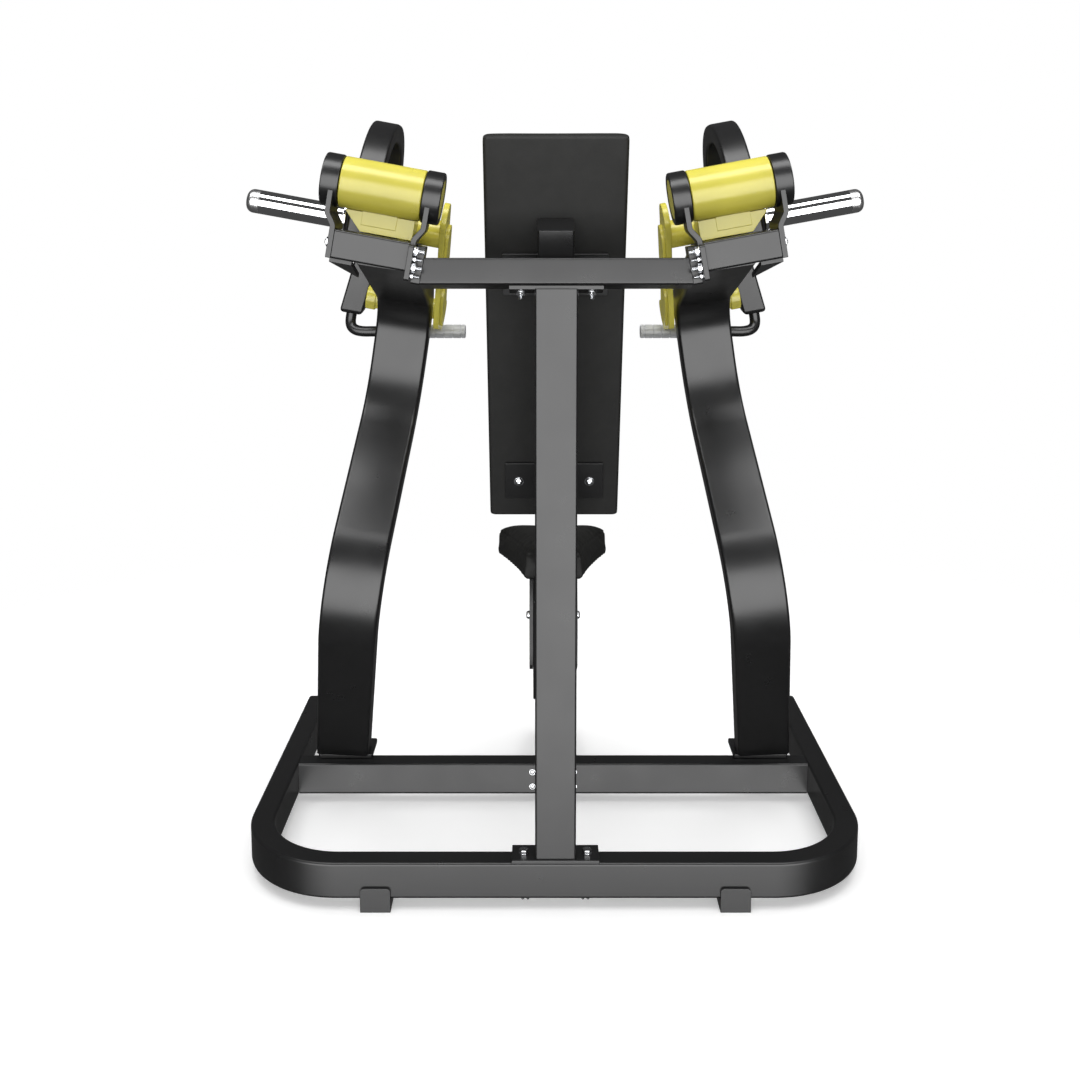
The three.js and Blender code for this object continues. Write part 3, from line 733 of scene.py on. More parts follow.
# ---- base ------------------------------------------------------------------------------------
@dataclass
class Base:
    """The U-shaped floor frame with its crossbar, centre beam, clips and feet."""

    shop: Workshop
    finishes: Finishes
    half_width: float = 0.640
    length: float = 0.840
    tube: float = 0.050
    height: Point2 = (0.025, 0.100)
    corner: float = 0.208
    crossbar: float = 0.438
    edge: float = 0.006
    beam_half: float = 0.040
    gap: float = 0.0003

    def frame(self) -> None:
        """The bent tube that runs round the rear and along both sides."""
        x = self.half_width
        path = filleted([(-x, self.length), (-x, 0.0), (x, 0.0), (x, self.length)],
                        [0.0, self.corner, self.corner, 0.0], 28)
        self.shop.piece("base_frame", sweep(path, Plane.XY, (0.0, self.tube), self.height,
                                            self.edge), self.finishes.black,
                        stands_for="base_frame", edge=0.0012)

    def cap(self, name: str, x: Point2) -> None:
        """A plastic cap in the open end of a tube.

        Args:
            name: The cap's name.
            x: Where the tube starts and ends in X.
        """
        rim = sweep([(Vector((0.0, self.length + 0.0002)), Vector((-1.0, 0.0))),
                     (Vector((0.0, self.length + 0.0062)), Vector((-1.0, 0.0)))], Plane.XY,
                    (-x[1] + 0.0006, -x[0] - 0.0006),
                    (self.height[0] + 0.0006, self.height[1] - 0.0006), self.edge, (0.0, 0.004))
        self.shop.piece(name, rim, self.finishes.rubber)

    def cross_members(self) -> None:
        """The crossbar between the rails and the beam that runs forward from its middle."""
        end = self.half_width - self.tube - self.gap
        rear = self.crossbar
        bar = sweep([(Vector((-end, rear)), Vector((0.0, 1.0))),
                     (Vector((end, rear)), Vector((0.0, 1.0)))],
                    Plane.XY, (0.0, self.tube), self.height, self.edge)
        self.shop.piece("base_crossbar", bar, self.finishes.black, stands_for="base_crossbar")
        start = rear + self.tube + self.gap
        beam = sweep([(Vector((0.0, start)), Vector((-1.0, 0.0))),
                      (Vector((0.0, self.length)), Vector((-1.0, 0.0)))],
                     Plane.XY, (-self.beam_half, self.beam_half), self.height, self.edge)
        self.shop.piece("centre_beam", beam, self.finishes.black, stands_for="centre_beam")
        button = Fastener(Head.BUTTON, 0.0067)
        for side in Side:
            for level, z in (("upper", 0.080), ("lower", 0.045)):
                spot = aimed(Vector((side.value * 0.048, rear, z)), Vector((0.0, -1.0, 0.0)))
                self.shop.piece(f"crossbar_bolt_{level}_{side.tag}", button.build(spot),
                                self.finishes.zinc)

    def feet(self) -> None:
        """The clips under the rear bar and the feet at the front."""
        for node in ("rear_foot_clip_l", "rear_foot_clip_r"):
            self.shop.refined(node, self.finishes.black, "frame", 0.001)
        for node in ("front_foot", "front_rail_foot_l", "front_rail_foot_r"):
            self.shop.refined(node, self.finishes.rubber, "frame", 0.002)

    def build(self) -> None:
        """Builds the whole base."""
        self.frame()
        self.cross_members()
        self.feet()
        rail = (self.half_width - self.tube, self.half_width)
        self.cap("rail_end_cap_l", (-rail[1], -rail[0]))
        self.cap("rail_end_cap_r", rail)
        self.cap("beam_end_cap", (-self.beam_half, self.beam_half))


# ---- post and top bar --------------------------------------------------------------------------
@dataclass
class PostAndBar:
    """The rear post, its two end plates with their bolts, and the tilted top bar."""

    shop: Workshop
    finishes: Finishes
    half_width: float = 0.040
    depth: float = 0.050
    foot: float = 0.1086
    tilt: float = math.radians(10.0)
    bar_bottom: float = 1.2325
    bar_depth: float = 0.075
    bar_height: float = 0.050
    head_lean: float = math.radians(10.3)
    pivot: Point2 = (0.3205, 1.407)
    bar_reach: float = 0.0989
    plate: float = 0.008
    edge: float = 0.005

    def under(self, y: float, drop: float) -> float:
        """The height at y of a plane parallel to the bar's underside and drop below it."""
        return self.bar_bottom - y * math.tan(self.tilt) - drop / math.cos(self.tilt)

    def post(self) -> None:
        """The upright post, cut at the top to the slope of the bar."""
        drop = self.plate + 0.0006
        section = rounded_rectangle((-self.half_width, self.half_width), (0.0, self.depth),
                                    self.edge)
        bm = bmesh.new()
        loft(bm, [[Vector((p.x, p.y, self.foot)) for p in section],
                  [Vector((p.x, p.y, self.under(p.y, drop))) for p in section]])
        self.shop.piece("rear_post", bm, self.finishes.black, stands_for="rear_post")
        for node in ("post_base_plate", "post_top_plate"):
            self.shop.refined(node, self.finishes.black, "frame", 0.0012)

    def bar(self) -> None:
        """The bar between the two heads, with ends that lean as they do."""
        section = []
        for p in rounded_rectangle((0.0, self.bar_depth), (0.0, self.bar_height), self.edge):
            q = p.copy()
            q.rotate(Matrix.Rotation(-self.tilt, 2))
            section.append(Vector((q.x, q.y + self.bar_bottom)))
        rings = []
        for sign in (-1.0, 1.0):
            ring = []
            for p in section:
                w = self.bar_reach + (p.y - self.pivot[1]) * math.sin(self.head_lean)
                ring.append(Vector((sign * (self.pivot[0] - w / math.cos(self.head_lean)),
                                    p.x, p.y)))
            rings.append(ring)
        bm = bmesh.new()
        loft(bm, rings)
        self.shop.piece("top_bar", bm, self.finishes.black, stands_for="top_bar")

    def bolts(self) -> None:
        """Two bolts through each end plate."""
        hexagon = Fastener(Head.HEX, 0.0098)
        nut = Fastener(Head.NUT, 0.0098, 0.008)
        down = Vector((0.0, 0.0, -1.0))
        for side in Side:
            x = side.value * 0.0625
            spot = aimed(Vector((x, 0.025, self.foot - 0.0003)), -down)
            self.shop.piece(f"post_base_bolt_{side.tag}", hexagon.build(spot), self.finishes.zinc)
            for k, dx in enumerate((-0.005, 0.005)):
                pin = turned([(0.0, 0.0), (0.0, 0.0032), (0.008, 0.0032), (0.010, 0.0022),
                              (0.010, 0.0)], 20, False, None,
                             aimed(Vector((x - 0.003 * side.value + dx, 0.018, 0.025)), down))
                self.shop.piece(f"post_base_stud_{side.tag}_{k + 1}", pin, self.finishes.zinc)
            y = 0.033
            slope = Vector((0.0, -math.sin(self.tilt), -math.cos(self.tilt)))
            spot = aimed(Vector((side.value * 0.066, y, self.under(y, self.plate + 0.0004))), slope)
            self.shop.piece(f"post_top_nut_{side.tag}", nut.build(spot), self.finishes.zinc)

    def build(self) -> None:
        """Builds the post, the bar and their bolts."""
        self.post()
        self.bar()
        self.bolts()


# ---- uprights ----------------------------------------------------------------------------------
@dataclass
class Upright:
    """The S-curved flat tube on one side, in a frame that leans towards the middle."""

    shop: Workshop
    finishes: Finishes
    side: Side
    width: float = 0.120
    thickness: float = 0.055
    lean: float = math.radians(8.7)
    offset: float = 0.503
    path: tuple[Point2, ...] = ((0.4836, 0.0), (0.1355, 0.5188), (0.490, 0.891), (0.490, 1.092),
                                (0.0503, 1.196))
    radii: tuple[float, ...] = (0.0, 0.207, 0.200, 0.090, 0.0)
    foot: float = 0.1106
    edge: float = 0.0075

    def shape(self) -> bmesh.types.BMesh:
        """The tube, its foot cut level and its top cut upright.

        Returns:
            The mesh in the leaning frame.
        """
        bm = sweep(filleted(self.path, self.radii, 28), Plane.YZ, (-self.thickness, 0.0),
                   (-self.offset - self.width / 2, -self.offset + self.width / 2), self.edge)
        (y0, z0), (y1, z1) = self.path[:2]
        (y2, z2), (y3, z3) = self.path[-2:]
        for vert in bm.verts:
            p = vert.co
            if p.z < 0.06:
                level = (self.foot + p.x * math.sin(self.lean)) / math.cos(self.lean)
                p.y += (level - p.z) * (y1 - y0) / (z1 - z0)
                p.z = level
            elif p.y < y3 + 0.03 and p.z > z3 - 0.01:
                p.z += (y3 - p.y) * (z3 - z2) / (y3 - y2)
                p.y = y3
        return bm

    def build(self) -> None:
        """Builds the upright and its foot plate."""
        place = self.side.place(self.shop.datum @ Matrix.Rotation(self.lean, 4, "Y"))
        name = f"upright_{self.side.tag}"
        self.shop.piece(name, self.shape(), self.finishes.black, place=place, stands_for=name,
                        edge=0.001)
        self.shop.refined(f"upright_foot_plate_{self.side.tag}", self.finishes.black, "frame",
                          0.0015)


# ---- heads -------------------------------------------------------------------------------------
@dataclass
class HeadStock:
    """The bearing head on one side: block, jogged plates, lug, housings, flange and bolts.

    The frame has X along the pivot, towards the middle of the machine.
    """

    shop: Workshop
    finishes: Finishes
    side: Side
    place: Matrix
    block_half: float = 0.0697
    block: Point2 = (-0.141, -0.087)
    rear: float = -0.045
    plate: float = 0.010
    jog: float = 0.014
    housing: float = 0.049
    housing_x: Point2 = (0.077, 0.111)
    bore: float = 0.025
    cap_recess: float = 0.039
    lug_rear: float = -0.068
    lug_height: Point2 = (-0.156, -0.090)
    lug_thread: float = 0.013
    lug_nuts: tuple[tuple[float, float, float], ...] = (
        (-0.057, -0.100, 0.009), (-0.057, -0.131, 0.009),
        (-0.051, -0.1155, 0.006), (-0.051, -0.1465, 0.006))

    def strip(self, name: str, sign: float) -> None:
        """A jogged bearing plate.

        Args:
            name: The node that it stands for.
            sign: -1 for the outer plate, 1 for the inner one.
        """
        x0, x1 = self.block_half + 0.0003, self.block_half + 0.0003 + self.plate
        half = self.plate / 2
        middle = filleted([(self.block[0], x0 + half), (-0.081, x0 + half),
                           (-0.060, x0 + half + self.jog), (0.0, x0 + half + self.jog)],
                          [0.0, 0.014, 0.014, 0.0], 6)
        outline = [p + n * half for p, n in middle] + [p - n * half for p, n in reversed(middle)]
        bm = prism([(sign * p.y, p.x) for p in outline], Plane.XZ,
                   (self.rear, 0.045 if sign < 0 else 0.0047))
        self.shop.piece(name, bm, self.finishes.black, place=self.place, stands_for=name,
                        edge=0.0012)

    def lug(self) -> None:
        """The part of the inner plate that reaches back behind the top bar."""
        face = self.block_half + 0.0003
        outline = rounded_rectangle((self.lug_rear, self.rear - 0.0002), self.lug_height, 0.005)
        bm = prism(outline, Plane.YZ, (face, face + self.plate))
        self.shop.piece(f"head_lug_{self.side.tag}", bm, self.finishes.black, place=self.place,
                        edge=0.0012)

    def ring(self, name: str, sign: float) -> None:
        """A bearing housing, with a recess in its outer face for the shaft's cap.

        Args:
            name: The piece's name.
            sign: -1 for the outer housing, 1 for the inner one.
        """
        low, high = self.housing_x
        r = self.housing
        profile = [(low, self.bore), (low, r - 0.003), (low + 0.0009, r - 0.0009), (low + 0.003, r),
                   (high - 0.004, r), (high - 0.0012, r - 0.0012), (high, r - 0.004),
                   (high, self.cap_recess + 0.001), (high - 0.001, self.cap_recess),
                   (high - 0.005, self.cap_recess), (high - 0.005, self.bore)]
        bm = turned([(sign * x, radius) for x, radius in profile], 96, True)
        self.shop.piece(name, bm, self.finishes.black, place=self.place)

    def bolts(self) -> None:
        """The nut on the outer plate, and two large and two small nuts on the lug."""
        spot = aimed(Vector((-self.block_half - 0.0107, 0.002, -0.114)), Vector((-1.0, 0.0, 0.0)))
        nut = Fastener(Head.NUT, 0.010, 0.004).build(spot)
        self.shop.piece(f"head_bolt_outer_{self.side.tag}", nut, self.finishes.zinc,
                        place=self.place)
        face = self.block_half + self.plate + 0.0005
        for k, (y, z, size) in enumerate(self.lug_nuts):
            spot = aimed(Vector((face, y, z)), Vector((1.0, 0.0, 0.0)))
            nut = Fastener(Head.NUT, size, self.lug_thread).build(spot)
            self.shop.piece(f"flange_bolt_{self.side.tag}_{k + 1}", nut, self.finishes.zinc,
                            place=self.place)

    def build(self) -> None:
        """Builds the head."""
        tag = self.side.tag
        block = prism(rounded_rectangle((self.rear, 0.005), self.block, 0.005), Plane.YZ,
                      (-self.block_half, self.block_half))
        self.shop.piece(f"head_block_{tag}", block, self.finishes.black, place=self.place,
                        stands_for=f"head_block_{tag}", edge=0.0008)
        self.strip(f"head_plate_outer_{tag}", -1.0)
        self.strip(f"head_plate_inner_{tag}", 1.0)
        self.lug()
        self.ring(f"bearing_housing_outer_{tag}", -1.0)
        self.ring(f"bearing_housing_inner_{tag}", 1.0)
        self.shop.refined(f"head_gusset_{tag}", self.finishes.black, "frame", 0.001)
        self.shop.refined(f"top_bar_flange_{tag}", self.finishes.black, "frame", 0.0012)
        self.shop.refined(f"rest_stop_{tag}", self.finishes.rubber, "frame", 0.001)
        self.bolts()


# ---- press arms --------------------------------------------------------------------------------
@dataclass
class PressArm:
    """The hinged arm of one side, in the frame of its head."""

    shop: Workshop
    finishes: Finishes
    side: Side
    place: Matrix
    tube_half: float = 0.076
    tube_radius: float = 0.0475
    shaft: float = 0.0247
    cap_start: float = 0.1063
    cap_radius: float = 0.038
    arch_section: Point2 = (0.040, 0.054)
    arch_root: Point2 = (0.211, -0.059)
    arch_bottom: float = -0.108
    arch_radius: float = 0.154
    arch_peak: float = 0.119
    arch_leg: Point2 = (0.600, -0.300)
    lean_out: float = 0.045
    horn_radius: float = 0.024
    horn: Point2 = (-0.0884, -0.294)
    horn_height: float = -0.071
    bar_x: Point2 = (0.104, 0.116)
    bar_path: tuple[Point2, ...] = ((0.165, -0.040), (0.290, -0.135), (0.425, -0.250),
                                    (0.548, -0.262))
    front: Point2 = (0.545, -0.252)
    grip_start: tuple[float, float, float] = (0.0224, 0.585, -0.322)
    grip_length: float = 0.150
    grip_lean: float = math.radians(10.3)
    handle_radius: float = 0.0125
    grip_radius: float = 0.016
    groove: float = 0.020

    def put(self, name: str, bm: bmesh.types.BMesh, finish: Finish, edge: float = 0.0,
            own_node: bool = True) -> None:
        """Adds a piece of this arm.

        Args:
            name: The piece's name without the side's letter.
            bm: Its mesh in the head's frame.
            finish: What it is made of.
            edge: Radius of its edges.
            own_node: The piece stands for the node of the same name.
        """
        full = f"{name}_{self.side.tag}"
        self.shop.piece(full, bm, finish, self.side.arm, self.place, full if own_node else "", edge)

    def pivot(self) -> None:
        """The wide yellow tube on the pivot, and the shaft through both housings."""
        h, r, bore = self.tube_half, self.tube_radius, self.shaft + 0.0003
        outer = [(-h, bore), (-h, r - 0.0025), (-h + 0.0008, r - 0.0008), (-h + 0.0025, r),
                 (h - 0.0025, r), (h - 0.0008, r - 0.0008), (h, r - 0.0025), (h, bore)]
        self.put("pivot_tube", turned(outer, 96, True), self.finishes.yellow)
        end, r = self.cap_start, self.cap_radius
        cap = [(-end - 0.0037, 0.0), (-end - 0.0037, r - 0.002), (-end - 0.0030, r - 0.0006),
               (-end - 0.0015, r), (-end, r), (-end, self.shaft)]
        profile = cap + [(-x, radius) for x, radius in reversed(cap)]
        self.put("pivot_shaft", turned(profile, 64), self.finishes.yellow)

    def tubes(self) -> None:
        """The two round tubes that carry the side bar."""
        inner = self.bar_x[0] - 0.0003
        cross = turned([(0.0353, 0.0), (0.0353, 0.028), (inner, 0.028), (inner, 0.0)], 48, False,
                       None, Matrix.Translation((0.0, 0.200, -0.070)))
        self.put("arm_cross_tube", cross, self.finishes.yellow, 0.0005)
        flange = [(-0.066, 0.0), (-0.066, 0.0255), (-0.0645, 0.027), (-0.0455, 0.027),
                  (-0.044, 0.0255), (-0.0435, 0.0235), (inner, 0.0235), (inner, 0.0)]
        place = Matrix.Translation((0.0, *self.front))
        self.put("arm_front_tube", turned(flange, 48, False, None, place), self.finishes.yellow)

    def side_bar(self) -> None:
        """The flat bar from the lever to the handle, with two raised bosses."""
        bm = prism(band(self.bar_path, (0.0, 0.06, 0.06, 0.0), 0.035), Plane.YZ, self.bar_x)
        self.put("arm_side_bar", bm, self.finishes.yellow, 0.002)
        a, b, c, d = (Vector(p) for p in self.bar_path)
        for k, (start, end) in enumerate(((a.lerp(b, 0.35), a.lerp(b, 0.95)),
                                          (b.lerp(c, 0.55), c.lerp(d, 0.2)))):
            boss = prism(band((tuple(start), tuple(end)), (0.0, 0.0), 0.026), Plane.YZ,
                         (self.bar_x[1] - 0.001, self.bar_x[1] + 0.006))
            self.put(f"arm_boss_{k + 1}", boss, self.finishes.yellow, 0.0015, False)

    def arch(self) -> None:
        """The black hoop that carries the weight horn and the handle."""
        thick, wide = self.arch_section
        root = self.arch_root[0]
        far = root + 2 * self.arch_radius
        path = filleted([(0.0, self.arch_bottom), (0.0, self.arch_peak),
                         (far - root, self.arch_peak),
                         (self.arch_leg[0] - root, self.arch_leg[1])],
                        [0.0, self.arch_radius, self.arch_radius, 0.0], 32)
        bm = sweep(path, Plane.YZ, (-thick / 2, thick / 2), (-wide / 2, wide / 2), 0.006,
                   (0.0, 0.012))
        bend = self.arch_peak - self.arch_radius
        for vert in bm.verts:
            if vert.co.y > far - root - thick / 2 - 0.001:
                below = max(0.0, bend - vert.co.z) / (bend - self.arch_leg[1])
                vert.co.x -= self.lean_out * below
        bm.transform(Matrix.Translation((self.arch_root[1], root, 0.0)))
        self.put("arm_arch", bm, self.finishes.black, 0.0008)

    def weight_horn(self) -> None:
        """The chrome horn with its collar and its rounded satin end."""
        root, tip = self.horn
        r = self.horn_radius
        spot = Matrix.Translation((0.0, self.arch_root[0], self.horn_height))
        seam = tip + 0.027
        bar = [(root, 0.0), (root, 0.0350), (root - 0.001, 0.036), (root - 0.005, 0.036),
               (root - 0.006, 0.035), (root - 0.007, r), (seam, r), (seam, 0.0)]
        self.put("weight_horn", turned(bar, 96, False, None, spot), self.finishes.chrome, 0.0002)
        nose = [(tip + 0.014 - 0.014 * math.sin(t), r - 0.014 + 0.014 * math.cos(t))
                for t in (math.radians(10 * k) for k in range(10))]
        cap = [(seam - 0.0004, 0.0), (seam - 0.0004, r - 0.0005), (seam - 0.001, r + 0.0001), *nose,
               (tip, 0.0)]
        self.put("horn_end", turned(cap, 96, False, None, spot), self.finishes.satin, 0.0, False)

    def handle(self) -> None:
        """The bent handle tube and the ribbed grip."""
        along = Vector((math.cos(self.grip_lean), 0.0, math.sin(self.grip_lean)))
        start = Vector(self.grip_start)
        corner = start - along * 0.088
        out = self.arch_root[1] - self.lean_out
        top = Vector((out, self.arch_leg[0], self.arch_leg[1] + 0.004))
        drop = Vector((out, self.arch_leg[0], -0.310))
        bend = corner - along * 0.030
        bend.z -= 0.002
        away = corner + along * 0.014
        path = [top] + bezier(drop, drop + Vector((0.0, 0.0, -0.026)), bend, away, 24)
        end = start + along * (self.grip_length - 0.002)
        path += [away.lerp(end, k / 6) for k in range(1, 7)]
        self.put("handle_tube", tube(path, self.handle_radius), self.finishes.black)
        r, bore = self.grip_radius, self.handle_radius + 0.0003
        profile = [(0.0, bore), (0.0, r - 0.001), (0.001, r)]
        x = self.groove
        while x < self.grip_length - 0.008:
            profile += [(x - 0.0013, r), (x - 0.0008, r - 0.0012), (x + 0.0008, r - 0.0012),
                        (x + 0.0013, r)]
            x += self.groove
        profile += [(self.grip_length - 0.002, r), (self.grip_length, r - 0.002),
                    (self.grip_length, bore)]
        spot = Matrix.Translation(start) @ Matrix.Rotation(-self.grip_lean, 4, "Y")
        self.put("handle_grip", turned(profile, 48, True, None, spot), self.finishes.grip)
        length = self.grip_length
        plug = turned([(length - 0.0015, 0.0), (length - 0.0015, bore - 0.0003),
                       (length - 0.0008, bore - 0.0006), (length - 0.0004, 0.0)],
                      32, False, None, spot)
        self.put("handle_end", plug, self.finishes.rubber, 0.0, False)

    def build(self) -> None:
        """Builds the arm."""
        self.pivot()
        self.shop.refined(f"arm_lever_{self.side.tag}", self.finishes.yellow, self.side.arm, 0.0012)
        self.tubes()
        self.side_bar()
        self.arch()
        self.weight_horn()
        self.handle()


# ---- pads ----------------------------------------------------------------------------------------
@dataclass
class Upholstery:
    """A board-backed foam pad whose cover is blown up by the cloth solver."""

    shop: Workshop
    finishes: Finishes
    voxel: float = 0.006
    frames: int = 20
    pressure: float = 4.0
    most: float = 0.012

    def remeshed(self, piece: bpy.types.Object) -> None:
        """Gives a piece an even mesh of small faces."""
        grid = piece.modifiers.new("even mesh", "REMESH")
        grid.mode = "VOXEL"
        grid.voxel_size = self.voxel
        self.applied(piece)

    def applied(self, piece: bpy.types.Object) -> None:
        """Turns what a piece's modifiers show into its own mesh."""
        graph = bpy.context.evaluated_depsgraph_get()
        mesh = bpy.data.meshes.new_from_object(piece.evaluated_get(graph))
        piece.modifiers.clear()
        piece.data = mesh

    def blown(self, piece: bpy.types.Object, held: Callable[[Vector], bool]) -> None:
        """Blows the cover up from inside.

        Args:
            piece: The pad, with an even mesh.
            held: Says of a point whether it is stapled to the board and stays.
        """
        rest = [v.co.copy() for v in piece.data.vertices]
        pins = piece.vertex_groups.new(name="stapled")
        pins.add([i for i, p in enumerate(rest) if held(p)], 1.0, "REPLACE")
        cloth = piece.modifiers.new("cover", "CLOTH")
        settings = cloth.settings
        settings.quality = 5
        settings.mass = 0.4
        settings.tension_stiffness = 12.0
        settings.compression_stiffness = 12.0
        settings.shear_stiffness = 6.0
        settings.bending_stiffness = 1.5
        settings.vertex_group_mass = "stapled"
        settings.use_pressure = True
        settings.uniform_pressure_force = self.pressure
        settings.effector_weights.gravity = 0.0
        cloth.point_cache.frame_start = 1
        cloth.point_cache.frame_end = self.frames
        scene = bpy.context.scene
        for frame in range(1, self.frames + 1):
            scene.frame_set(frame)
        graph = bpy.context.evaluated_depsgraph_get()
        moved = [v.co.copy() for v in piece.evaluated_get(graph).data.vertices]
        piece.modifiers.clear()
        for vertex, start, end in zip(piece.data.vertices, rest, moved):
            step = end - start
            if step.length > self.most:
                step *= self.most / step.length
            vertex.co = start + step
        scene.frame_set(1)

    def finished(self, piece: bpy.types.Object, relief: Callable[[Vector], float],
                 place: Matrix) -> None:
        """Smooths the cover, sinks its seams and puts the pad in place.

        Args:
            piece: The blown-up pad.
            relief: Gives the depth of a seam at a point.
            place: The frame that the pad was made in.
        """
        smooth = piece.modifiers.new("pulled tight", "SMOOTH")
        smooth.factor = 0.5
        smooth.iterations = 4
        smooth.vertex_group = "stapled"
        smooth.invert_vertex_group = True
        finer = piece.modifiers.new("finer", "SUBSURF")
        finer.levels = finer.render_levels = 1
        self.applied(piece)
        mesh = piece.data
        normals = [v.normal.copy() for v in mesh.vertices]
        for vertex, normal in zip(mesh.vertices, normals):
            vertex.co -= normal * relief(vertex.co)
        mesh.transform(place)
        mesh.polygons.foreach_set("use_smooth", [True] * len(mesh.polygons))

    def pad(self, name: str, bm: bmesh.types.BMesh, body: str, place: Matrix,
            held: Callable[[Vector], bool], relief: Callable[[Vector], float]) -> bpy.types.Object:
        """Makes a pad.

        Args:
            name: The node that the pad stands for.
            bm: Its first shape, a little smaller than the finished pad.
            body: The body that it rides on.
            place: The frame that it is drawn in.
            held: Says which points are stapled to the board.
            relief: The depth of its seams.

        Returns:
            The pad.
        """
        bmesh.ops.recalc_face_normals(bm, faces=bm.faces)
        mesh = bpy.data.meshes.new(name)
        bm.to_mesh(mesh)
        bm.free()
        piece = bpy.data.objects.new(f"{name}_cover", mesh)
        bpy.context.scene.collection.objects.link(piece)
        self.remeshed(piece)
        self.blown(piece, held)
        self.finished(piece, relief, place)
        piece.data.materials.clear()
        piece.data.materials.append(self.shop.material(self.finishes.vinyl))
        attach(piece, body)
        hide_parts(name)
        log.info("%s: %s on %s", piece.name, self.finishes.vinyl.name, body)
        return piece


@dataclass
class BackPad:
    """The reclined back pad with its spine, plates and bolts."""

    shop: Workshop
    finishes: Finishes
    place: Matrix
    half_width: float = 0.140
    length: float = 0.850
    thickness: float = 0.062
    board: float = 0.018
    crown: float = 0.007
    spine_half: float = 0.035
    spine_y: Point2 = (-0.0766, -0.0066)
    spine_top: float = 0.688
    floor: float = 0.1003
    plates: tuple[float, float] = (0.571, 0.0945)

    def cover(self) -> None:
        """The pad itself: flat on the board side, crowned towards the user."""
        w = self.half_width - 0.0005
        c = self.crown
        outline = rounded_rectangle((-w, w), (0.0005, self.length - 0.0005), 0.007, 8)
        bm = bmesh.new()
        sections = ((0.0, 0.002), (0.002, 0.0), (self.thickness - c - 0.012, 0.0),
                    (self.thickness - c - 0.004, 0.004), (self.thickness - c, 0.014))
        rings = []
        for y, inset in sections:
            scale = (w - inset) / w
            middle = self.length / 2
            rings.append([Vector((p.x * scale, y, middle + (p.y - middle)
                                  * (middle - inset) / middle)) for p in outline])
        loft(bm, rings)

        def seam(p: Vector) -> float:
            """The seam that runs round the edge of the front panel."""
            away = abs(p.y - (self.thickness - c - 0.010))
            return 0.0016 * max(0.0, 1 - (away / 0.0035) ** 2) if away < 0.0035 else 0.0

        Upholstery(self.shop, self.finishes).pad(
            "back_pad", bm, "frame", self.place, lambda p: p.y < self.board, seam)

    def spine(self) -> None:
        """The reclined tube that carries the pad and the seat."""
        lean = math.asin(-self.place.col[2].y)
        sunk = self.place.translation.z - self.floor
        section = rounded_rectangle((-self.spine_half, self.spine_half), self.spine_y, 0.005)
        bm = bmesh.new()
        loft(bm, [[Vector((p.x, p.y, -(sunk + p.y * math.sin(lean)) / math.cos(lean)))
                   for p in section],
                  [Vector((p.x, p.y, self.spine_top)) for p in section]])
        self.shop.piece("pad_spine", bm, self.finishes.black, place=self.place,
                        stands_for="pad_spine", edge=0.0008)
        self.shop.refined("spine_saddle", self.finishes.black, "frame", 0.0008)

    def brackets(self) -> None:
        """The two plates behind the pad, each with two bolts."""
        for node, height, label in zip(("upper_pad_plate", "lower_pad_plate"), self.plates,
                                       ("upper", "lower")):
            self.shop.refined(node, self.finishes.black, "frame", 0.001)
            for side in Side:
                spot = aimed(Vector((side.value * 0.076, self.spine_y[1] + 0.0003, height)),
                             Vector((0.0, -1.0, 0.0)))
                self.shop.piece(f"pad_bolt_{label}_{side.tag}",
                                Fastener(Head.BUTTON, 0.010).build(spot), self.finishes.zinc,
                                place=self.place)

    def build(self) -> None:
        """Builds the back pad and what carries it."""
        self.spine()
        self.brackets()
        self.cover()


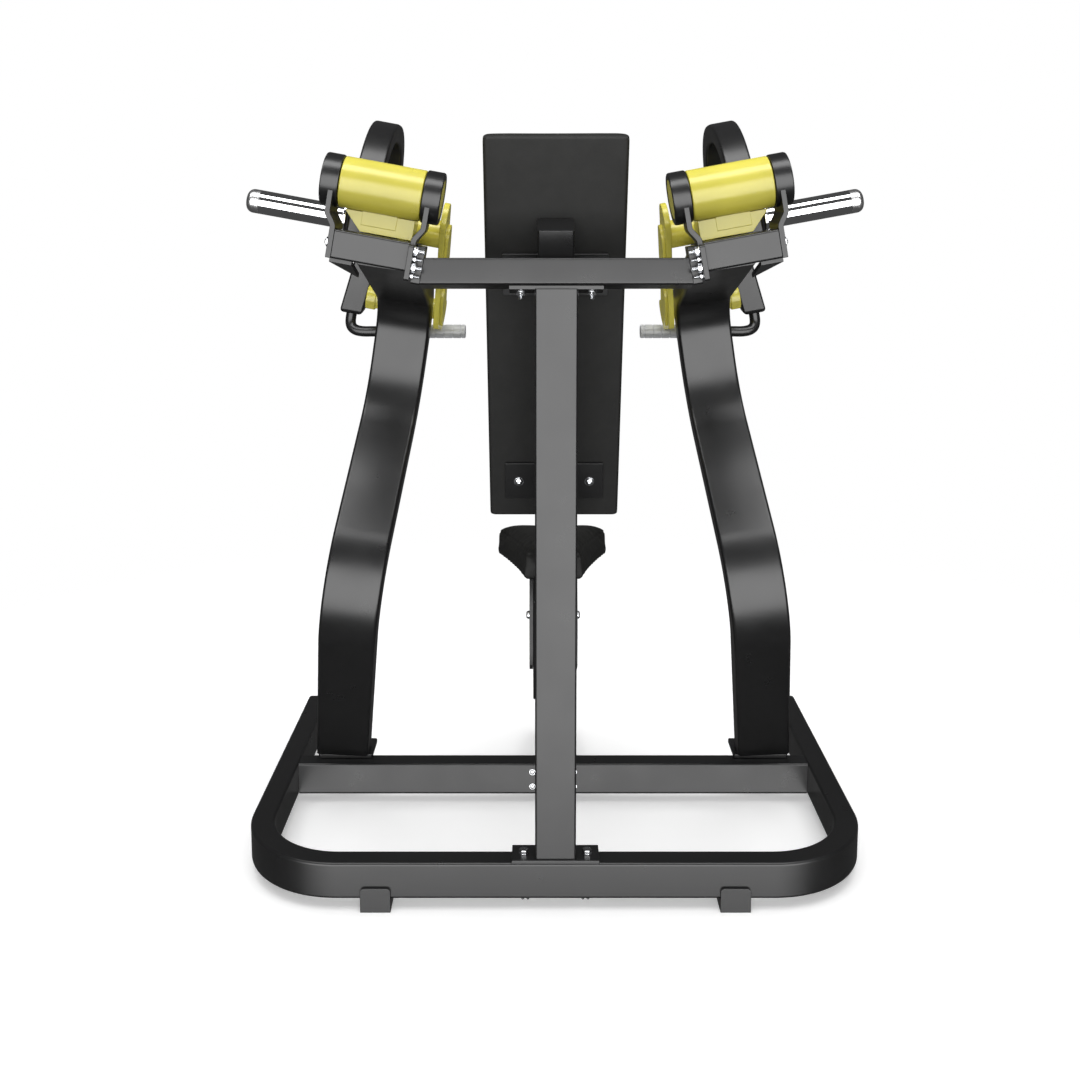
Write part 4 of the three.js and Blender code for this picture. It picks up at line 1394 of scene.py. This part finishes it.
@dataclass
class Seat:
    """The sliding seat: sleeve, side plates, lock pin and a pad that flares to the front."""

    shop: Workshop
    finishes: Finishes
    recline: Matrix
    rear: Point2 = (0.430, 0.542)
    slope: float = math.radians(-4.95)
    length: float = 0.336
    thickness: float = 0.070
    rear_half: float = 0.069
    middle_half: float = 0.092
    front_half: float = 0.139
    board: float = 0.020
    pin_height: float = -0.255

    def outline(self, inset: float) -> list[Vector]:
        """The pad's outline seen from above.

        Args:
            inset: How far it is drawn in.

        Returns:
            The outline, counter-clockwise from the left rear corner.
        """
        half = []
        for k in range(21):
            t = k / 20
            x = (self.rear_half * (1 - t) ** 2 + self.middle_half * 2 * t * (1 - t)
                 + self.front_half * t * t) - inset
            half.append(Vector((x, inset + t * (self.length - 0.024 - 2 * inset))))
        nose = []
        for k in range(1, 7):
            a = math.radians(15 * k)
            nose.append(Vector((self.front_half - inset - 0.026 * (1 - math.cos(a)),
                                self.length - 0.024 - inset + 0.024 * math.sin(a))))
        right = half + nose
        return right + [Vector((-p.x, p.y)) for p in reversed(right)]

    def cover(self) -> None:
        """The seat pad."""
        place = (self.shop.datum @ Matrix.Translation((0.0, *self.rear))
                 @ Matrix.Rotation(self.slope, 4, "X"))
        top = self.thickness - 0.006
        rings = [[Vector((p.x, p.y, z)) for p in self.outline(inset)]
                 for z, inset in ((0.0, 0.006), (0.003, 0.003), (top - 0.010, 0.003),
                                  (top - 0.003, 0.006), (top, 0.012))]
        bm = bmesh.new()
        loft(bm, rings)

        def seam(p: Vector) -> float:
            """The seam between the side band and the top panel."""
            away = abs(p.z - (top - 0.009))
            return 0.0016 * (1 - (away / 0.0035) ** 2) if away < 0.0035 else 0.0

        Upholstery(self.shop, self.finishes, most=0.010).pad(
            "seat_pad", bm, "seat", place, lambda p: p.z < self.board, seam)

    def build(self) -> None:
        """Builds the seat."""
        black = self.finishes.black
        self.shop.refined("seat_sleeve", black, "seat", 0.0012)
        for node in ("seat_plate_l", "seat_plate_r"):
            self.shop.refined(node, black, "seat", 0.0012)
        self.shop.refined("seat_bolt", self.finishes.zinc, "seat", 0.0005)
        knob = [(0.055, 0.0), (0.0545, 0.008), (0.052, 0.0118), (0.047, 0.0138), (0.034, 0.0136),
                (0.029, 0.0125), (0.026, 0.009), (0.014, 0.009), (0.014, 0.0055), (-0.0055, 0.0055),
                (-0.0055, 0.0)]
        spot = Matrix.Translation((0.0, 0.0, self.pin_height)) @ Matrix.Rotation(
            math.pi / 2, 4, "Z")
        self.shop.piece("seat_pin", turned(knob, 48, False, None, spot), self.finishes.rubber,
                        "lock_pin", self.recline, "seat_pin")
        self.cover()


# ---- studio --------------------------------------------------------------------------------------
@dataclass(frozen=True)
class Studio:
    """The camera, the pale floor and the soft lights."""

    lens: float = 40.7
    shift: float = -0.15
    pitch: float = math.radians(7.63)
    eye: tuple[float, float, float] = (-0.0304, -2.661, 1.360)
    floor_fade: Point2 = (1.0, 2.4)

    def camera(self) -> None:
        """Sets up the camera."""
        data = bpy.data.cameras.new("camera")
        data.lens = self.lens
        data.sensor_width = 36.0
        data.shift_y = self.shift
        made = bpy.data.objects.new("camera", data)
        made.location = self.eye
        made.rotation_euler = (math.pi / 2 - self.pitch, 0.0, 0.0)
        bpy.context.scene.collection.objects.link(made)
        bpy.context.scene.camera = made

    def floor(self) -> None:
        """A wide pale floor."""
        bm = bmesh.new()
        bmesh.ops.create_grid(bm, x_segments=1, y_segments=1, size=30.0)
        mesh = bpy.data.meshes.new("studio_floor")
        bm.to_mesh(mesh)
        bm.free()
        made = bpy.data.objects.new("studio_floor", mesh)
        r = Recipe("pale_floor")
        r.tint(r.noise(3.0), (0.9, 0.9, 0.9), 0.99, 1.01)
        r.set(Roughness=0.9, Specular_IOR_Level=0.1)
        r.set(Emission_Color=(1.0, 1.0, 1.0, 1.0), Emission_Strength=0.3)
        ball = r.node("ShaderNodeVectorMath")
        ball.operation = "LENGTH"
        r.tree.links.new(r.place, ball.inputs[0])
        fade = r.spread(ball.outputs["Value"], 1.0, 0.0, self.floor_fade)
        r.tree.links.new(fade, r.shader.inputs["Alpha"])
        mesh.materials.append(r.material)
        made.visible_glossy = False
        made.visible_shadow = False
        bpy.context.scene.collection.objects.link(made)

    def world(self) -> None:
        """A white backdrop for the eye, and a dim room for what is lit by it."""
        world = bpy.data.worlds.new("studio")
        world.use_nodes = True
        bpy.context.scene.world = world
        nodes, links = world.node_tree.nodes, world.node_tree.links
        room = nodes["Background"]
        room.inputs["Color"].default_value = (1.0, 1.0, 1.0, 1.0)
        room.inputs["Strength"].default_value = 0.35
        white = nodes.new("ShaderNodeBackground")
        white.inputs["Color"].default_value = (1.0, 1.0, 1.0, 1.0)
        dim = nodes.new("ShaderNodeBackground")
        dim.inputs["Color"].default_value = (0.07, 0.07, 0.07, 1.0)
        ray = nodes.new("ShaderNodeLightPath")
        glossy, seen = nodes.new("ShaderNodeMixShader"), nodes.new("ShaderNodeMixShader")
        links.new(ray.outputs["Is Glossy Ray"], glossy.inputs[0])
        links.new(room.outputs[0], glossy.inputs[1])
        links.new(dim.outputs[0], glossy.inputs[2])
        links.new(ray.outputs["Is Camera Ray"], seen.inputs[0])
        links.new(glossy.outputs[0], seen.inputs[1])
        links.new(white.outputs[0], seen.inputs[2])
        links.new(seen.outputs[0], nodes["World Output"].inputs["Surface"])

    def light(self, name: str, spot: tuple[float, float, float], aim: tuple[float, float, float],
              size: Point2, power: float, glossy: bool, diffuse: bool) -> None:
        """A soft rectangular light.

        Args:
            name: Its name.
            spot: Where it hangs.
            aim: What it points at.
            size: Its width and height.
            power: Its power in watts.
            glossy: It shows in reflections.
            diffuse: It lights matt surfaces.
        """
        data = bpy.data.lights.new(name, "AREA")
        data.shape = "RECTANGLE"
        data.size, data.size_y = size
        data.energy = power
        made = bpy.data.objects.new(name, data)
        made.location = spot
        made.rotation_euler = (Vector(aim) - Vector(spot)).to_track_quat("-Z", "Y").to_euler()
        made.visible_glossy = glossy
        made.visible_diffuse = diffuse
        made.visible_camera = False
        bpy.context.scene.collection.objects.link(made)

    def lights(self) -> None:
        """A broad light behind the eye, a soft one overhead, and strips for the chrome."""
        self.light("front_sheet", (0.0, -14.0, -0.75), (0.0, 0.0, -0.75), (28.0, 14.1), 6000.0,
                   True, False)
        self.light("overhead", (0.0, -0.6, 4.2), (0.0, 0.0, 0.0), (5.0, 5.0), 165.0, False, True)
        self.light("eye_fill", (0.0, -4.5, 2.4), (0.0, 0.0, 0.7), (4.0, 3.0), 55.0, False, True)
        self.light("chrome_strip", (0.0, -1.2, 3.6), (0.0, -0.2, 1.3), (5.0, 1.1), 110.0,
                   True, False)
        self.light("rim_sheet", (0.0, 4.5, 1.6), (0.0, 0.0, 0.7), (6.0, 2.4), 60.0, False, True)

    def build(self) -> None:
        """Builds the studio."""
        self.floor()
        self.world()
        self.lights()
        bpy.context.scene.view_settings.view_transform = "Standard"


def clear_scene() -> None:
    """Removes what a new file starts with."""
    for old in list(bpy.data.objects):
        bpy.data.objects.remove(old, do_unlink=True)


def head_place(frame: dict[str, object], joint_name: str) -> Matrix:
    """The frame of the left head, from its arm's joint.

    Args:
        joint_name: The joint of the left arm.

    Returns:
        The frame: X along the pivot axis, Y forward.
    """
    joint = next(j for j in frame["joints"] if j["name"] == joint_name)
    x = Vector(joint["axis"])
    y = Vector((0.0, 1.0, 0.0))
    turn = Matrix((x, y, x.cross(y))).transposed().to_4x4()
    return Matrix.Translation(joint["pos_m"]) @ turn


def pad_place(frame: dict[str, object], datum: Matrix) -> Matrix:
    """The frame of the reclined pad, from the slide that the seat moves along.

    Args:
        datum: The machine's own frame.

    Returns:
        The frame: its origin in the middle of the lower edge of the pad's back, Z up the spine.
    """
    joint = next(j for j in frame["joints"] if j["name"] == "seat_height")
    z = Vector(joint["axis"])
    x = Vector((1.0, 0.0, 0.0))
    turn = Matrix((x, z.cross(x), z)).transposed().to_4x4()
    return datum @ Matrix.Translation((0.0, 0.371, 0.703)) @ turn


def main() -> None:
    """Builds the machine, sub-assembly by sub-assembly."""
    logging.basicConfig(level=logging.INFO, format="%(name)s: %(message)s")
    clear_scene()
    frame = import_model()
    studio = Studio()
    studio.camera()
    datum = Matrix.Translation((0.0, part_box("base_frame")[0].y, 0.0))
    shop = Workshop(datum)
    finishes = Finishes()
    Base(shop, finishes).build()
    PostAndBar(shop, finishes).build()
    left_head = head_place(frame, "left_arm_press")
    recline = pad_place(frame, datum)
    for side in Side:
        Upright(shop, finishes, side).build()
        HeadStock(shop, finishes, side, side.place(left_head)).build()
        PressArm(shop, finishes, side, side.place(left_head)).build()
    BackPad(shop, finishes, recline).build()
    Seat(shop, finishes, recline).build()
    studio.build()
    bpy.context.view_layer.update()


if __name__ == "__main__":
    main()
